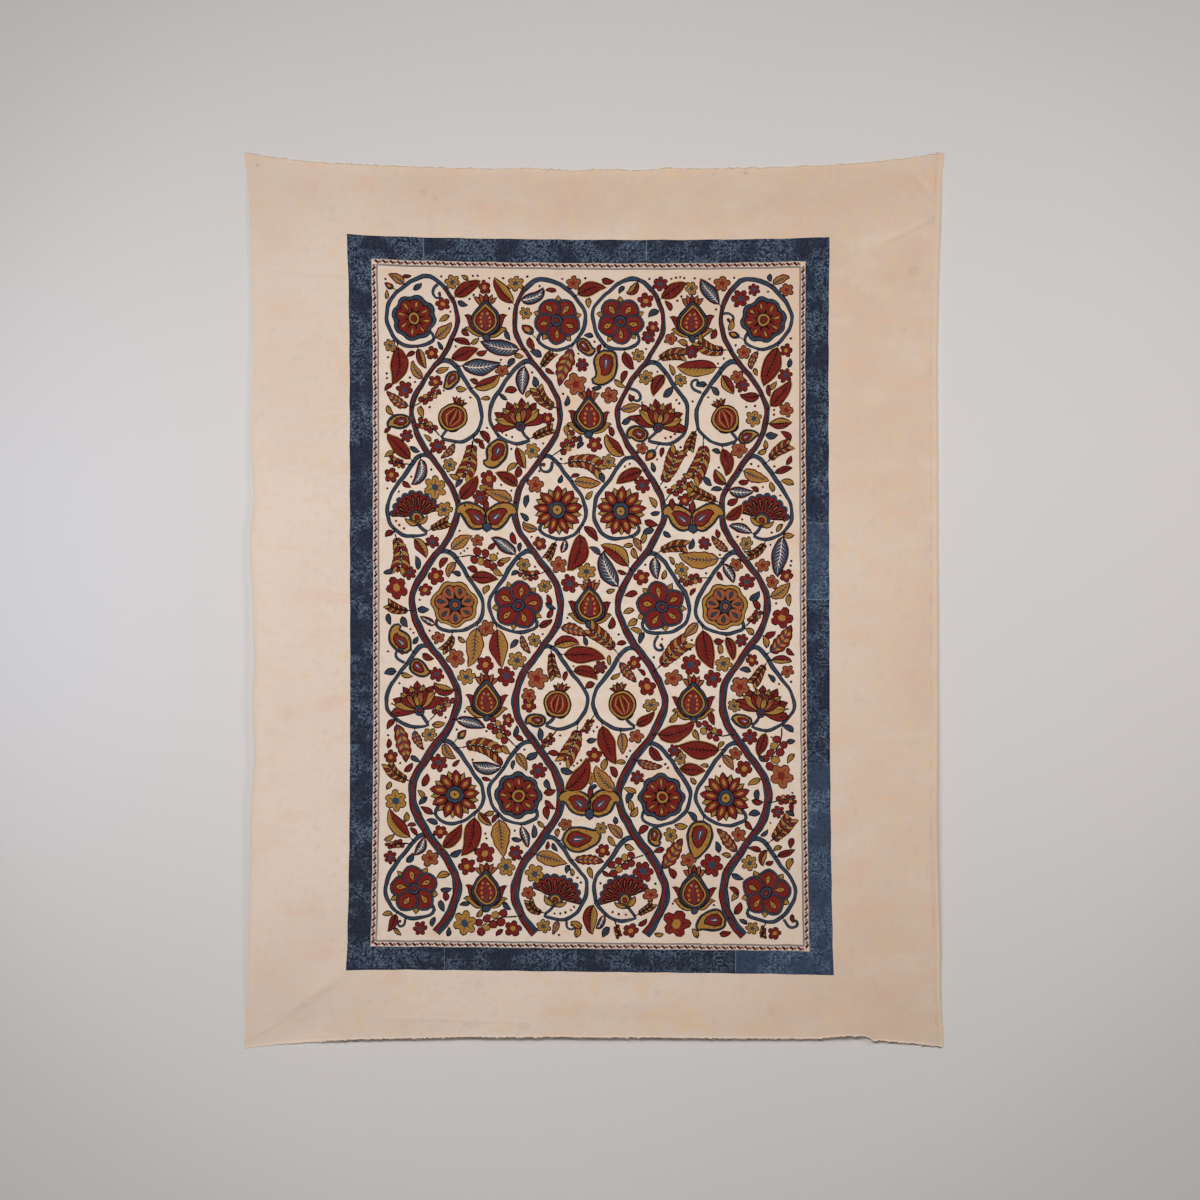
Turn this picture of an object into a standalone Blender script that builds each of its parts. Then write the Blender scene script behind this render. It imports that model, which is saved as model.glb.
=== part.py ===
"""A printed cotton hanging, held flat to a wall by its four corners.

One uncut, unlined length of thin cloth. The pull at the corners draws all four edges in
between them and lifts soft folds across the corners, and the bottom edge stands clear of the wall.
X runs across, +Z is up, the face looks along -Y, and the wall is the plane Y = 0.
The origin is the middle of the top edge.
"""

import math

import bpy

NAME = "printed_hanging"

# The cloth as it hangs, in metres
CORNER_SPAN = 1.120      # across, between the two corners of one side
HANG_DROP = 1.391        # middle of the top edge to middle of the bottom edge
TOP_RISE = 0.0285        # upper corners above the middle of the top edge
FOOT_DROP = 0.0160       # lower corners below the middle of the bottom edge
LEFT_DRAW = 0.0150       # left side drawn in at its middle
RIGHT_DRAW = 0.0118      # right side drawn in at its middle
THICKNESS = 0.0015

# How sharply each edge turns out to its corners. The top edge adds a share of a broad curve.
TOP_BROAD_SHARE = 0.45
BROAD_POWER = 2.0
TOP_POWER = 6.0
BOTTOM_POWER = 5.2
DRAW_UPPER_POWER = 6.0
DRAW_LOWER_POWER = 2.8

# Cells of the cloth, about 28 mm each way
CELLS_ACROSS = 40
CELLS_DOWN = 50

# Uneven cutting of the edges, which dies out inside the cloth over EDGE_FADE
EDGE_FADE = 0.035
BUMP_COLUMNS = ("at", "spread", "out")
TOP_BUMPS = (
    (-0.320, 0.060, 0.0012),
    (-0.110, 0.022, 0.0022),
    (-0.042, 0.030, -0.0020),
    (0.070, 0.018, -0.0022),
    (0.118, 0.020, 0.0018),
)
BOTTOM_BUMPS = (
    (-0.210, 0.085, -0.0014),
    (0.005, 0.040, 0.0012),
    (0.408, 0.037, -0.0075),
)
LEFT_BUMPS = (
    (-0.525, 0.030, -0.0030),
    (-0.600, 0.070, 0.0044),
    (-0.790, 0.040, -0.0020),
    (-0.935, 0.050, -0.0040),
    (-1.080, 0.070, 0.0034),
)
RIGHT_BUMPS = (
    (-0.300, 0.080, -0.0010),
    (-1.000, 0.110, 0.0014),
    (-1.310, 0.060, -0.0030),
)

# Where the cloth is held to the wall: it is flat within "flat" of the point and free past "reach"
HOLD_COLUMNS = ("x", "z", "flat", "reach")
HOLDS = (
    (-0.560, 0.0285, 0.046, 0.150),
    (0.560, 0.0285, 0.046, 0.150),
    (-0.560, -1.407, 0.046, 0.150),
    (0.560, -1.407, 0.046, 0.150),
    (0.000, 0.000, 0.004, 0.090),
)

# Folds and swells, which stand out from the wall. A negative height is a trough.
# "turn" is the angle of its length from level, in degrees; "along" and "across" are its spreads.
FOLD_COLUMNS = ("x", "z", "turn", "along", "across", "height")
FOLDS = (
    # body of the cloth
    (0.050, -0.800, 84.0, 0.480, 0.330, 0.0075),
    (-0.260, -0.470, 76.0, 0.300, 0.090, 0.0022),
    (0.250, -1.000, 98.0, 0.260, 0.080, 0.0020),
    # slack under the top edge, and the ripples that hang from it
    (-0.180, -0.085, -6.0, 0.220, 0.045, 0.0044),
    (0.190, -0.075, 5.0, 0.260, 0.040, 0.0052),
    (0.345, -0.030, 9.0, 0.170, 0.024, -0.0030),
    # upper corners
    (-0.472, -0.056, -46.0, 0.100, 0.030, 0.0050),
    (-0.500, -0.150, -72.0, 0.130, 0.026, 0.0026),
    (0.472, -0.080, 50.0, 0.115, 0.028, 0.0070),
    (0.510, -0.180, 74.0, 0.150, 0.026, 0.0036),
    # right side, which rolls forward below its middle
    (0.515, -0.740, 91.0, 0.170, 0.030, 0.0056),
    (0.552, -1.080, 90.0, 0.210, 0.022, 0.0062),
    # left side
    (-0.548, -0.900, 89.0, 0.260, 0.024, 0.0036),
    # lower corners
    (-0.462, -1.325, 39.0, 0.090, 0.022, 0.0078),
    (-0.410, -1.362, 14.0, 0.120, 0.016, -0.0032),
    (-0.500, -1.240, 66.0, 0.120, 0.026, 0.0030),
    (0.486, -1.330, 138.0, 0.085, 0.024, 0.0056),
    # bottom edge, clear of the wall between its corners and curled out at one lift
    (-0.060, -1.375, 0.0, 0.420, 0.060, 0.0078),
    (0.030, -1.360, 0.0, 0.110, 0.014, -0.0024),
    (0.408, -1.392, 0.0, 0.040, 0.034, 0.0070),
)

COTTON_COLOUR = (0.640, 0.470, 0.350, 1.0)
COTTON_ROUGHNESS = 0.92


def rows(columns, table):
    """The rows of a short table, each as a dict of its named columns."""
    return [dict(zip(columns, row)) for row in table]


def bell(offset, spread):
    """1 at the middle of a bump and 0 well past its spread."""
    return math.exp(-((offset / spread) ** 2))


def ease(share):
    """A soft step from 0 to 1."""
    t = min(max(share, 0.0), 1.0)
    return t * t * (3.0 - 2.0 * t)


def top_sag(across):
    """Share of the corner's rise at a place across the top edge, from -1 to 1."""
    broad = TOP_BROAD_SHARE * abs(across) ** BROAD_POWER
    tight = (1.0 - TOP_BROAD_SHARE) * abs(across) ** TOP_POWER
    return broad + tight


def bottom_sag(across):
    """Share of the corner's drop at a place across the bottom edge, from -1 to 1."""
    return abs(across) ** BOTTOM_POWER


def draw_in(down):
    """Share of a side's full draw at a place down the cloth, from 0 at the top to 1."""
    middle = 2.0 * down - 1.0
    power = DRAW_UPPER_POWER if middle < 0.0 else DRAW_LOWER_POWER
    return 1.0 - abs(middle) ** power


def unevenness(bumps, place):
    """How far an edge stands out at a place along it."""
    return sum(b["out"] * bell(place - b["at"], b["spread"]) for b in rows(BUMP_COLUMNS, bumps))


def hung_place(across, down):
    """X and Z of a point of the cloth. across runs from -1 to 1 and down from 0 to 1."""
    share = (across + 1.0) / 2.0
    left = -CORNER_SPAN / 2.0 + LEFT_DRAW * draw_in(down)
    right = CORNER_SPAN / 2.0 - RIGHT_DRAW * draw_in(down)
    top = TOP_RISE * top_sag(across)
    bottom = -HANG_DROP - FOOT_DROP * bottom_sag(across)
    x = left + (right - left) * share
    z = top + (bottom - top) * down
    from_left = share * CORNER_SPAN
    from_right = CORNER_SPAN - from_left
    from_top = down * HANG_DROP
    from_bottom = HANG_DROP - from_top
    moved_x = unevenness(RIGHT_BUMPS, z) * math.exp(-from_right / EDGE_FADE)
    moved_x -= unevenness(LEFT_BUMPS, z) * math.exp(-from_left / EDGE_FADE)
    moved_z = unevenness(TOP_BUMPS, x) * math.exp(-from_top / EDGE_FADE)
    moved_z -= unevenness(BOTTOM_BUMPS, x) * math.exp(-from_bottom / EDGE_FADE)
    return x + moved_x, z + moved_z


def freedom(x, z):
    """0 where the cloth is held to the wall and 1 where it hangs free."""
    free = 1.0
    for hold in rows(HOLD_COLUMNS, HOLDS):
        distance = math.hypot(x - hold["x"], z - hold["z"])
        free *= ease((distance - hold["flat"]) / (hold["reach"] - hold["flat"]))
    return free


def stand_off(x, z):
    """How far the back of the cloth stands from the wall."""
    height = 0.0
    for fold in rows(FOLD_COLUMNS, FOLDS):
        turn = math.radians(fold["turn"])
        dx = x - fold["x"]
        dz = z - fold["z"]
        along = dx * math.cos(turn) + dz * math.sin(turn)
        across = dz * math.cos(turn) - dx * math.sin(turn)
        height += fold["height"] * bell(along, fold["along"]) * bell(across, fold["across"])
    return max(height, 0.0) * freedom(x, z)


def cotton():
    """Undyed cotton, warmed by its tannin bath."""
    material = bpy.data.materials.new("printed_cotton")
    material.use_nodes = True
    shader = material.node_tree.nodes["Principled BSDF"]
    shader.inputs["Base Color"].default_value = COTTON_COLOUR
    shader.inputs["Roughness"].default_value = COTTON_ROUGHNESS
    shader.inputs["Metallic"].default_value = 0.0
    return material


def make_cloth(collection):
    """The cloth: a grid laid into its hung outline, lifted into its folds and given its thickness."""
    bpy.ops.mesh.primitive_grid_add(x_subdivisions=CELLS_ACROSS, y_subdivisions=CELLS_DOWN, size=2.0)
    cloth = bpy.context.object
    cloth.name = "cloth"
    cloth.data.name = "cloth"
    for vertex in cloth.data.vertices:
        x, z = hung_place(vertex.co.x, (1.0 - vertex.co.y) / 2.0)
        vertex.co = (x, -stand_off(x, z), z)
    cloth.data.materials.append(cotton())
    cloth.data.shade_smooth()
    skin = cloth.modifiers.new("thickness", "SOLIDIFY")
    skin.thickness = THICKNESS
    skin.offset = 1.0
    for home in list(cloth.users_collection):
        home.objects.unlink(cloth)
    collection.objects.link(cloth)
    return cloth


def build():
    for old in list(bpy.data.objects):
        bpy.data.objects.remove(old, do_unlink=True)
    collection = bpy.data.collections.new(NAME)
    bpy.context.scene.collection.children.link(collection)
    make_cloth(collection)


build()
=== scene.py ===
import math

import bpy
import numpy as np
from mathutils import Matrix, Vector
from mathutils.bvhtree import BVHTree
from mathutils.geometry import delaunay_2d_cdt


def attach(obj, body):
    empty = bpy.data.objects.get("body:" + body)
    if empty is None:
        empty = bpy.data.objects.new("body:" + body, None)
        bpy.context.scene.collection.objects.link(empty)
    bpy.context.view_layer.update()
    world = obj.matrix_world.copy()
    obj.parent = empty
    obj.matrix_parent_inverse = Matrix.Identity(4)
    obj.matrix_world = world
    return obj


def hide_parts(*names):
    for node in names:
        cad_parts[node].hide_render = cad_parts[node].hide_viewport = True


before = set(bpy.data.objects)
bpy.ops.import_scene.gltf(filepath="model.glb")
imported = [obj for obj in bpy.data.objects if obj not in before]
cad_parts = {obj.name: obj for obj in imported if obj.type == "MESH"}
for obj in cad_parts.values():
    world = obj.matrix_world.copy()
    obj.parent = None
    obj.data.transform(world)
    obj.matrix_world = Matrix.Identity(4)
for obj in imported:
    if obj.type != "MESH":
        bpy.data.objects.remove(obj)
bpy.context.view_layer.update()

# The length of cotton, as it hangs
# One unlined length of thin plain-weave cotton, with its selvedges down both sides and cut across at
# head and foot. Its four corners are pulled out flat on the wall, which draws the edges in between
# them, lifts soft folds across the corners and leaves the foot standing a little clear.

CLOTH_WIDTH = 1.100      # as cut, before it was hung
CLOTH_LENGTH = 1.400
CLOTH_THICKNESS = 0.0006

CORNER_SPAN = 1.120
HANG_DROP = 1.391
TOP_RISE = 0.0285
FOOT_DROP = 0.0160
LEFT_DRAW = 0.0150
RIGHT_DRAW = 0.0118
TOP_BROAD_SHARE = 0.45
BROAD_POWER = 2.0
TOP_POWER = 6.0
BOTTOM_POWER = 5.2
DRAW_UPPER_POWER = 6.0
DRAW_LOWER_POWER = 2.8
EDGE_FADE = 0.035

TOP_BUMPS = (
    # at, spread, out
    (-0.320, 0.060, 0.0012),
    (-0.110, 0.022, 0.0022),
    (-0.042, 0.030, -0.0020),
    (0.070, 0.018, -0.0022),
    (0.118, 0.020, 0.0018),
)
BOTTOM_BUMPS = (
    # at, spread, out
    (-0.210, 0.085, -0.0014),
    (0.005, 0.040, 0.0012),
    (-0.030, 0.170, -0.0032),
    (0.408, 0.037, -0.0075),
)
LEFT_BUMPS = (
    # at, spread, out
    (-0.525, 0.030, -0.0030),
    (-0.600, 0.070, 0.0044),
    (-0.720, 0.180, -0.0020),
    (-0.790, 0.040, -0.0020),
    (-0.935, 0.050, -0.0040),
    (-1.080, 0.070, 0.0006),
    (-0.410, 0.090, 0.0018),
)
RIGHT_BUMPS = (
    # at, spread, out
    (-0.300, 0.080, -0.0010),
    (-1.080, 0.160, -0.0028),
    (-1.310, 0.060, -0.0030),
)
HOLDS = (
    # x, z, flat, reach
    (-0.560, 0.0285, 0.046, 0.150),
    (0.560, 0.0285, 0.046, 0.150),
    (-0.560, -1.407, 0.046, 0.150),
    (0.560, -1.407, 0.046, 0.150),
    (0.000, 0.000, 0.004, 0.090),
)
FOLDS = (
    # x, z, turn in degrees, along, across, height
    (0.050, -0.800, 84.0, 0.480, 0.330, 0.0075),
    (-0.260, -0.470, 76.0, 0.300, 0.090, 0.0022),
    (0.250, -1.000, 98.0, 0.260, 0.080, 0.0020),
    (-0.180, -0.085, -6.0, 0.220, 0.045, 0.0044),
    (0.190, -0.075, 5.0, 0.260, 0.040, 0.0052),
    (0.345, -0.030, 9.0, 0.170, 0.024, -0.0030),
    (-0.472, -0.056, -46.0, 0.100, 0.030, 0.0050),
    (-0.500, -0.150, -72.0, 0.130, 0.026, 0.0026),
    (0.472, -0.080, 50.0, 0.115, 0.028, 0.0070),
    (0.510, -0.180, 74.0, 0.150, 0.026, 0.0036),
    (0.515, -0.740, 91.0, 0.170, 0.030, 0.0056),
    (0.552, -1.080, 90.0, 0.210, 0.022, 0.0062),
    (-0.548, -0.900, 89.0, 0.260, 0.024, 0.0036),
    (-0.562, -0.780, 90.0, 0.480, 0.040, 0.0085),
    (-0.462, -1.325, 39.0, 0.090, 0.022, 0.0078),
    (-0.410, -1.362, 14.0, 0.120, 0.016, -0.0032),
    (-0.500, -1.240, 66.0, 0.120, 0.026, 0.0030),
    (0.486, -1.330, 138.0, 0.085, 0.024, 0.0056),
    (-0.060, -1.375, 0.0, 0.420, 0.060, 0.0078),
    (0.030, -1.360, 0.0, 0.110, 0.014, -0.0024),
    (0.408, -1.392, 0.0, 0.040, 0.034, 0.0070),
)


def bell(offset, spread):
    return np.exp(-((offset / spread) ** 2))


def ease(share):
    t = np.clip(share, 0.0, 1.0)
    return t * t * (3.0 - 2.0 * t)


def unevenness(bumps, place):
    return sum(out * bell(place - at, spread) for at, spread, out in bumps)


def hung_place(across, down):
    """X and Z of points of the cloth. across runs from -1 to 1 and down from 0 to 1."""
    share = (across + 1.0) / 2.0
    middle = 2.0 * down - 1.0
    draw = 1.0 - abs(middle) ** np.where(middle < 0.0, DRAW_UPPER_POWER, DRAW_LOWER_POWER)
    left = -CORNER_SPAN / 2.0 + LEFT_DRAW * draw
    right = CORNER_SPAN / 2.0 - RIGHT_DRAW * draw
    broad = TOP_BROAD_SHARE * abs(across) ** BROAD_POWER
    top = TOP_RISE * (broad + (1.0 - TOP_BROAD_SHARE) * abs(across) ** TOP_POWER)
    bottom = -HANG_DROP - FOOT_DROP * abs(across) ** BOTTOM_POWER
    x = left + (right - left) * share
    z = top + (bottom - top) * down
    from_left = share * CORNER_SPAN
    from_top = down * HANG_DROP
    moved_x = unevenness(RIGHT_BUMPS, z) * np.exp((from_left - CORNER_SPAN) / EDGE_FADE)
    moved_x -= unevenness(LEFT_BUMPS, z) * np.exp(-from_left / EDGE_FADE)
    moved_z = unevenness(TOP_BUMPS, x) * np.exp(-from_top / EDGE_FADE)
    moved_z -= unevenness(BOTTOM_BUMPS, x) * np.exp((from_top - HANG_DROP) / EDGE_FADE)
    return x + moved_x, z + moved_z


def lifted(folds, x, z):
    """How far a table of folds lifts the cloth at some places."""
    height = 0.0
    for at_x, at_z, turn, along, across, top in folds:
        turn = math.radians(turn)
        dx, dz = x - at_x, z - at_z
        height = height + top * bell(dx * math.cos(turn) + dz * math.sin(turn), along) * bell(
            dz * math.cos(turn) - dx * math.sin(turn), across)
    return height


def stand_off(x, z):
    """How far the back of the cloth stands from the wall."""
    free = 1.0
    for at_x, at_z, flat, reach in HOLDS:
        free = free * ease((np.hypot(x - at_x, z - at_z) - flat) / (reach - flat))
    return np.maximum(lifted(FOLDS, x, z), 0.0) * free


# The brush and the dyes
# The print is blocked and brushed flat on the cloth before it is hung: iron-black outlines, then
# madder reds, mustard and indigo blues inside them. A point of the print is a complex number, in
# metres from the middle of the printed frame, so that a turn is a product.

BARE, INK, MADDER, MUSTARD, BLUE, RUST, DEEP, SMOKE, INDIGO, NIGHT, PALE, WASHED = range(12)
LINE = 0.0016            # width of a brushed outline

prints = []              # patches of dye in the order they are laid: outline and dye


def unsteady(z, hand=1.0):
    """The hand's slow drift, and the brush's small shake."""
    x, y = z.real, z.imag
    drift = np.sin(61 * x + 83 * y + 1.3) + 1j * np.sin(77 * x - 58 * y + 2.1)
    sway = np.sin(171 * y - 143 * x + 0.4) + 1j * np.sin(151 * x + 187 * y + 5.0)
    shake = np.sin(1900 * x + 1300 * y) + 1j * np.sin(1500 * x - 2100 * y + 0.7)
    return z + hand * (0.0010 * drift + 0.0006 * sway + 0.00014 * shake)


def lay(outline, dye, hand=1.0):
    """Lays a patch of dye over what is already there."""
    prints.append((unsteady(np.asarray(outline, complex), hand), dye))


def area_of(outline):
    """The area inside a closed outline, negative where it runs clockwise."""
    ahead = np.roll(outline, -1)
    return np.sum(outline.real * ahead.imag - ahead.real * outline.imag) / 2


def square_to(along):
    """Steps 1 long, to the left of some headings."""
    return 1j * along / np.maximum(abs(along), 1e-9)


def grown(outline, by):
    """A closed outline moved out by a distance, or in where that is negative."""
    outward = -square_to(np.roll(outline, -1) - np.roll(outline, 1))
    return outline + math.copysign(by, by * area_of(outline)) * outward


def outlined(outline, dye, line=LINE, line_dye=INK):
    """A patch of dye inside a brushed line."""
    lay(grown(outline, line * 0.55), line_dye)
    lay(grown(outline, line * -0.60), dye)


def brush_pieces(points, widths, reach=8):
    """A brush line as short closed pieces, so that a curled line never crosses itself."""
    points = np.asarray(points, complex)
    share = np.linspace(0, 1, len(points))
    half = np.interp(share, np.linspace(0, 1, len(widths)), widths) / 2
    side = square_to(np.gradient(points)) * half
    for first in range(0, len(points) - 1, reach):
        part = slice(first, first + reach + 1)
        yield np.concatenate([(points - side)[part], (points + side)[part][::-1]])


def brush(points, widths, dye=INK):
    """A line whose width runs through the given widths from its start to its end."""
    for piece in brush_pieces(points, widths):
        lay(piece, dye)


def flick(root, tip, width=LINE * 0.9, dye=INK):
    """A short stroke that thins out to its tip."""
    along = tip - root
    side = 1j * along / max(abs(along), 1e-9) * width / 2
    lay([root - side, tip, root + side], dye)


def ring(radius, count=16, lobes=0, depth=0.0, sharp=1.0):
    """A closed outline round the origin, scalloped where it has lobes."""
    turn = 2 * math.pi * np.arange(count) / count
    wave = np.abs(np.cos(lobes * turn / 2)) ** sharp if lobes else 1.0
    return radius * (1 - depth + depth * wave) * np.exp(1j * turn)


def dot(at, radius, dye=INK, count=5):
    lay(at + ring(radius, count), dye)


class Spot:
    """Where a motif is drawn: its origin, the way its own X axis points, its size, and its side."""

    def __init__(self, at, turn=0.0, size=1.0, flip=False):
        self.at = complex(at)
        self.turn = turn
        self.size = size
        self.flip = flip

    def __call__(self, points):
        points = np.asarray(points, complex)
        points = points.conjugate() if self.flip else points
        return self.at + self.size * np.exp(1j * self.turn) * points

    def on(self, at, turn=0.0, size=1.0, flip=False):
        """A spot given in this one's own measure."""
        turned = self.turn + (-turn if self.flip else turn)
        return Spot(self(at), turned, self.size * size, self.flip != flip)


class Blade:
    """The form of a leaf or petal that grows from the origin along X and is 1 long."""

    def __init__(self, width, belly=0.45, full=0.85, bend=0.0, curl=0.0, count=10, teeth=0, bite=0.0):
        self.share = np.linspace(0, 1, count)
        self.half = width / 2 * np.sin(math.pi * self.share ** (math.log(0.5) / math.log(belly))) ** full
        self.half[[0, -1]] = 0.0
        self.half *= 1 - bite * (1 - np.abs(np.sin(math.pi * teeth * self.share))) if teeth else 1.0
        self.turn = bend * (self.share - 0.3) + curl * self.share**5
        step = np.exp(1j * self.turn)
        self.spine = np.concatenate([[0], np.cumsum((step[1:] + step[:-1]) / 2)]) / (count - 1)
        self.side = 1j * step * self.half

    def outline(self):
        return np.concatenate([self.spine - self.side, (self.spine + self.side)[::-1][1:-1]])

    def one_side(self, side, shrink):
        """The half of the blade on one side of its spine, drawn in from its edge."""
        keep = np.maximum(1 - shrink / np.maximum(self.half, 1e-6), 0.0)
        return np.concatenate([self.spine, (self.spine + side * self.side * keep)[::-1][1:-1]])

    def at(self, share, across=0.0):
        """A point at a share of the length and a share of the half width to one side."""
        middle = np.interp(share, self.share, self.spine.real) + 1j * np.interp(
            share, self.share, self.spine.imag)
        side = np.interp(share, self.share, self.side.real) + 1j * np.interp(
            share, self.share, self.side.imag)
        return middle + side * across

    def heading(self, share):
        return float(np.interp(share, self.share, self.turn))


def petal(spot, width, dye, belly=0.55, full=0.8, bend=0.0, count=8, line=LINE):
    form = Blade(width, belly, full, bend, 0.0, count)
    outlined(spot(form.outline()), dye, line)
    return form


def seed(spot, width, dye, belly, full, count, bend=0.0):
    """A small blade of one dye, with no line round it."""
    lay(spot(Blade(width, belly, full, bend, 0, count).outline()), dye)


def disc(spot, at, radius, count, dye, line=LINE):
    """A round patch of dye inside a line, its middle on the motif's own X axis."""
    outlined(spot(at + ring(radius, count)), dye, line)


def around(spot, count, offset=0.0):
    """Spots that face out from the middle of a flower, one for each petal."""
    for number in range(count):
        yield spot.on(0, 2 * math.pi * (number + offset) / count)


def midrib(spot, form, start, end, widths, dye=INK, count=5):
    brush(spot(form.at(np.linspace(start, end, count))), widths, dye)


# Leaves and shoots
# Each kind has a black line round it, and veins or bands inside it in a second dye. They are drawn
# along X, 1 long, and placed by the stems that they grow from.


def veins(spot, form, places, dye=INK, reach=0.78, width=LINE * 0.8):
    for place in places:
        for side in (1, -1):
            flick(spot(form.at(place)), spot(form.at(min(place + 0.11, 0.97), side * reach)), width, dye)


def vein_places(spot):
    return np.linspace(0.16, 0.70, 7 if spot.size > 0.045 else 5 if spot.size > 0.028 else 3)


def red_leaf(spot, bend, curl):
    form = Blade(0.42, 0.42, 0.9, bend, curl, 11)
    if spot.size > 0.034:
        lay(grown(spot(form.outline()), LINE * 1.4), MUSTARD)
    outlined(spot(form.outline()), MADDER)
    midrib(spot, form, 0.0, 0.88, (LINE * 1.3, LINE, LINE * 0.4))
    veins(spot, form, vein_places(spot))


def gold_leaf(spot, bend, curl):
    form = Blade(0.46, 0.40, 0.9, bend, curl, 14, 4, 0.16)
    outlined(spot(form.outline()), MUSTARD, LINE * 1.15, DEEP)
    veins(spot, form, vein_places(spot), DEEP, 0.74, LINE * 1.1)
    midrib(spot, form, 0.0, 0.9, (LINE * 1.5, LINE * 1.2, LINE * 0.4), BLUE)


def parted_leaf(spot, bend, curl):
    form = Blade(0.44, 0.44, 0.85, bend, curl, 12)
    lay(grown(spot(form.outline()), LINE * 0.55), INK)
    for side, dye in ((1, MADDER), (-1, MUSTARD)):
        lay(spot(form.one_side(side, LINE * 0.6 / spot.size)), dye)
    veins(spot, form, vein_places(spot), INK, 0.7)
    midrib(spot, form, 0.0, 0.94, (LINE * 1.4, LINE * 1.1, LINE * 0.4))


def banded_leaf(spot, bend, curl):
    form = Blade(0.40, 0.42, 0.8, bend, curl, 16, 5, 0.2)
    outlined(spot(form.outline()), MADDER)
    places = np.linspace(0.12, 0.84, 9 if spot.size > 0.034 else 7)
    for start, end in zip(places[::2], places[1::2]):
        for side in (1, -1):
            lay(spot([form.at(start, side * 0.1), form.at(start + 0.07, side * 0.7),
                      form.at(end + 0.07, side * 0.7), form.at(end, side * 0.1)]), MUSTARD)
    midrib(spot, form, 0.0, 0.95, (LINE * 1.6, LINE * 1.3, LINE * 0.4), BLUE, 6)


def blue_leaf(spot, bend, curl):
    form = Blade(0.38, 0.45, 0.85, bend, curl, 11)
    lay(grown(spot(form.outline()), LINE * 1.2), MADDER)
    outlined(spot(form.outline()), BLUE, LINE * 0.9)
    veins(spot, form, vein_places(spot), BARE, 0.7, LINE * 0.7)
    midrib(spot, form, 0.05, 0.92, (LINE * 0.9, LINE * 0.8, LINE * 0.3), BARE)


def fern(spot, bend, curl):
    form = Blade(0.1, 0.5, 0.9, bend, curl * 0.6, 10)
    for number in range(8):
        place = 0.10 + 0.76 * number / 7
        size = 0.13 + 0.20 * math.sin(math.pi * (0.30 + 0.62 * (1 - place)))
        for side in (1, -1):
            leaflet = spot.on(form.at(place), form.heading(place) + side * 0.85, size)
            petal(leaflet, 0.42, (MADDER, MUSTARD)[number % 2], 0.5, 0.9, side * -0.6, 5, LINE * 0.8)
    petal(spot.on(form.at(0.84), form.heading(0.9), 0.16), 0.5, MADDER, 0.5, 0.9, 0.0, 5, LINE * 0.8)
    midrib(spot, form, 0.0, 0.92, (LINE * 1.6, LINE * 1.2, LINE * 0.6), INK, 6)


def paisley(spot, bend, curl):
    """A bent drop with a curled tip, and another inside it."""
    form = Blade(0.58, 0.36, 0.72, bend + 0.5, curl + 1.7, 16)
    lay(grown(spot(form.outline()), LINE * 1.8), BLUE)
    outlined(spot(form.outline()), MUSTARD, LINE * 1.1)
    for place in np.linspace(0.2, 0.58, 3):
        for side in (1, -1):
            flick(spot(form.at(place, side * 0.72)), spot(form.at(place + 0.06, side * 0.9)), LINE, DEEP)
    inner = spot.on(form.at(0.10), form.heading(0.22), 0.62)
    core = Blade(0.60, 0.38, 0.75, bend + 0.3, curl + 0.9, 11)
    outlined(inner(core.outline()), MADDER)
    seed(inner.on(core.at(0.18), core.heading(0.3), 0.5), 0.5, BLUE, 0.42, 0.8, 7, 0.3)
    flick(inner(core.at(0.28)), inner(core.at(0.62)), LINE, BARE)


def berry_spray(spot, bend, curl):
    stalk = Blade(0.1, 0.5, 0.9, bend, curl, 10)
    for number in range(8):
        place = 0.24 + 0.70 * number / 7
        side = 1 if number % 2 else -1
        heading = stalk.heading(place) + side * 1.0
        tip = stalk.at(place) + 0.13 * np.exp(1j * heading)
        flick(spot(tip), spot(stalk.at(place)), LINE * 0.9)
        berry = spot.on(tip, heading, 0.105)
        disc(berry, 0, 1.0, 7, (MADDER, MUSTARD)[number % 3 == 2], LINE * 0.8)
    midrib(spot, stalk, 0, 0.97, (LINE * 1.5, LINE * 0.9), INK, 6)


def bud(spot, bend, curl):
    brush(spot([0, 0.16 + 0.02j, 0.34]), (LINE * 1.2, LINE))
    petal(spot.on(0.28, 0, 0.72), 0.62, MADDER, 0.42, 0.8)
    seed(spot.on(0.42, 0, 0.42), 0.5, MUSTARD, 0.5, 0.9, 5)
    for side in (1, -1):
        petal(spot.on(0.26, side * 0.5, 0.36), 0.42, BLUE, 0.4, 0.9, side * -0.6, 6, LINE * 0.7)


def hook(spot, bend, curl):
    """A curled shoot with a berry in its curl."""
    share = np.linspace(0, 1, 10)
    step = np.exp(1j * 4.6 * share**1.4) * (1 - 0.55 * share)
    line = np.concatenate([[0], np.cumsum(step)]) / 5.2
    width = spot.size * 0.10
    brush(spot(line), (width + LINE * 1.2, width + LINE))
    brush(spot(line[:-1]), (width, width * 0.8), BLUE)
    outlined(spot(line[-1]) + ring(spot.size * 0.085, 7), MADDER, LINE * 0.9)


# Flowers
# Seen from the front they are drawn round the origin, 1 from middle to edge. Seen from the side they
# stand on a base below the origin and open along X.


def rosette(spot, petals=8, rim=BLUE, body=MADDER, drop=MUSTARD):
    outlined(spot(ring(1.0, petals * 5, petals, 0.16, 0.8)), rim)
    lay(spot(ring(0.85, petals * 4, petals, 0.13, 0.8)), INK)
    for place in around(spot, petals):
        seed(place.on(0.24, 0, 0.57), 2.2 * math.sin(math.pi / petals), body, 0.64, 0.6, 9)
        petal(place.on(0.38, 0, 0.36), 0.42, drop, 0.62, 0.8, 0.0, 6, LINE * 0.7)
    disc(spot, 0, 0.28, 12, drop)
    disc(spot, 0, 0.15, 8, body)
    dot(spot(0), LINE * 0.8)


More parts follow.
